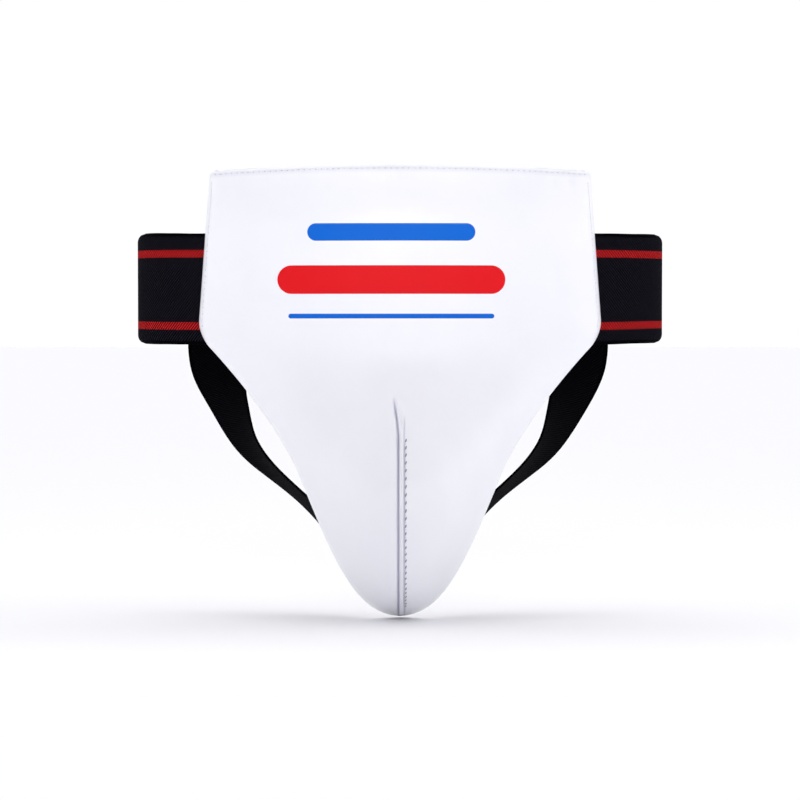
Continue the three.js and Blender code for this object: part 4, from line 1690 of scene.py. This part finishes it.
# ---------------------------------------------------------------------------------------------
# Looks, hidden parts and stage
# ---------------------------------------------------------------------------------------------
class Looks:
    """Every finish of the object, made once."""

    def __init__(self) -> None:
        """Builds the materials."""
        self.coated = CoatedFabric().build()
        blue, red = "0A66D2", "E0161E"
        bars = (
            (blue, 35 * MM, 53 * MM, 5.5 * MM),
            (red, 5 * MM, 72 * MM, 9 * MM),
            (blue, -18 * MM, 65 * MM, 1.5 * MM),
        )
        self.cover = CoatedFabric(name="screen_printed_coated_fabric", bars=bars).build()
        # Grey beads at the needle holes are painted shade in the holes.
        self.needle_hole_shade = Cloth("painted_needle_hole_shade", "A4A4B4", "8C8C9A", 0.4 * MM, 0.02 * MM).build()
        self.lining = Cloth("brushed_polyester_lining", "F1F1F4", "D9DAE0", 1.3 * MM, 0.12 * MM).build()
        self.fastener = Cloth("nylon_hook_and_loop", "141417", "030304", 0.9 * MM, 0.4 * MM).build()
        stripes = (22 * MM, -23.5 * MM)
        self.waist_elastic = Elastic("woven_waist_elastic", 70 * MM, stripes).build()
        self.leg_elastic = Elastic("woven_leg_elastic", 38 * MM, (), black="020203", thread="0F0E14").build()
        self.tab_elastic = Elastic("woven_tab_elastic", 64 * MM, ()).build()
        self.white_thread = Thread("white_polyester_thread", "FAFAFC", "D6D6DE").build()
        self.black_thread = Thread("black_polyester_thread", "2A282E", "0E0D10").build()
        self.plastic = Moulded("moulded_polypropylene", "F2F2EF", "E6E6E2", 0.5 * MM, 0.35).build()
        self.foam = Moulded("closed_cell_foam", "F1EEE2", "E2DED0", 1.2 * MM, 0.95).build()


class Inner:
    """The pieces that the cover hides, which stay the frame's own."""

    finishes = {"hard_cup": "plastic", "pad_foam": "foam", "cup_face_foam": "foam"}

    def build(self, looks: Looks) -> None:
        """Dresses each hidden node."""
        for node, finish in self.finishes.items():
            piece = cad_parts[node]
            piece.data.materials.clear()
            piece.data.materials.append(getattr(looks, finish))
            log.info("%s: dressed as %s", node, finish)


@dataclass
class Stage:
    """A plain pale floor, soft studio light from both sides, and the camera."""

    focus: Vector
    floor_z: float
    distance: float = 2.2
    elevation: float = 1.2
    field_width: float = 0.5055
    # How bright the room is from front to back, and what its ceiling adds: start, end, low and high.
    wall_light: tuple[float, float, float, float] = (-0.95, 0.35, 0.03, 1.03)
    ceiling_light: tuple[float, float, float, float] = (0.35, 0.9, 0.0, 0.55)
    side_place: tuple[float, float, float] = (1.35, -0.45, 0.1)
    side_size: tuple[float, float] = (0.8, 1.3)
    left_power: float = 2.0
    right_power: float = 3.4
    front_power: float = 0.15
    front_spread: float = 28.0
    low_power: float = 0.25

    def light(self, name: str, place: Point, size: Point, power: float) -> bpy.types.Object:
        """Adds one softbox that looks at the object.

        Args:
            name: The lamp's name.
            place: Where it stands.
            size: Its width and height.
            power: Its power in watts.

        Returns:
            The lamp.
        """
        data = bpy.data.lights.new(name, "AREA")
        data.shape = "RECTANGLE"
        data.size, data.size_y = size
        data.energy = power
        lamp = bpy.data.objects.new(name, data)
        bpy.context.scene.collection.objects.link(lamp)
        lamp.location = place
        lamp.rotation_euler = (self.focus - Vector(place)).to_track_quat("-Z", "Y").to_euler()
        return lamp

    def room(self) -> None:
        """Makes the studio: a white wall behind the object, and a dimmer room in front of it."""
        world = bpy.data.worlds.new("studio")
        bpy.context.scene.world = world
        world.use_nodes = True
        nodes = Nodes(world.node_tree)
        parts = nodes.add("ShaderNodeSeparateXYZ", _0=nodes.add("ShaderNodeTexCoord").outputs["Generated"])
        shares = []
        for axis, (start, end, low, high) in enumerate((self.wall_light, self.ceiling_light), 1):
            limits = {"From_Min": start, "From_Max": end, "To_Min": low, "To_Max": high}
            settings = {"interpolation_type": "SMOOTHSTEP"}
            shares.append(nodes.add("ShaderNodeMapRange", settings, Value=parts.outputs[axis], **limits))
        sky = world.node_tree.nodes["Background"]
        nodes.give(sky.inputs["Strength"], nodes.math("ADD", *(share.outputs[0] for share in shares)))
        nodes.give(sky.inputs["Color"], linear("FCFCFF"))

    def build(self) -> None:
        """Sets the stage."""
        bpy.ops.object.select_all(action="DESELECT")
        bpy.ops.mesh.primitive_plane_add(size=60, location=(0, 0, self.floor_z))
        floor = fresh("floor")
        finish = Finish("pale_floor")
        finish.set(Base_Color=linear("FAFAFB"), Roughness=0.9, Specular_IOR_Level=0.1)
        floor.data.materials.append(finish.material)
        self.room()
        across, *rest = self.side_place
        self.light("softbox_left", (-across, *rest), self.side_size, self.left_power)
        self.light("softbox_right", (across, *rest), self.side_size, self.right_power)
        front = self.light("softbox_front", (0, -1.0, 0.3), (0.5, 0.25), self.front_power)
        front.data.spread = math.radians(self.front_spread)
        aim = Vector((0, -0.06, 0.075))
        front.rotation_euler = (aim - front.location).to_track_quat("-Z", "Y").to_euler()
        self.light("floor_reflector", (0, -0.5, self.floor_z + 0.04), (0.5, 0.06), self.low_power)
        bpy.context.scene.view_settings.view_transform = "Standard"
        tilt = math.radians(self.elevation)
        camera = bpy.data.objects.new("camera", bpy.data.cameras.new("camera"))
        bpy.context.scene.collection.objects.link(camera)
        camera.location = self.focus + Vector((0, -math.cos(tilt), math.sin(tilt))) * self.distance
        camera.rotation_euler = (self.focus - camera.location).to_track_quat("-Z", "Y").to_euler()
        camera.data.sensor_width = 36
        camera.data.lens = 36 * self.distance / self.field_width
        bpy.context.scene.camera = camera


def main() -> None:
    """Builds the object's classes in order, and notes its size."""
    logging.basicConfig(level=logging.INFO, format="%(name)s: %(message)s")
    low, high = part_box("front_cover")
    shape = PadShape(tip=low.z, top=high.z, half=high.x + 1 * MM, back=-53.5 * MM)
    looks = Looks()
    Pad(shape).build(looks)
    Waistband(shape).build(looks)
    LegStraps(shape).build(looks)
    Closure().build(looks)
    Inner().build(looks)
    Stage(focus=Vector((0, -0.06, low.z + 140 * MM)), floor_z=low.z - 1 * MM).build()


if __name__ == "__main__":
    main()
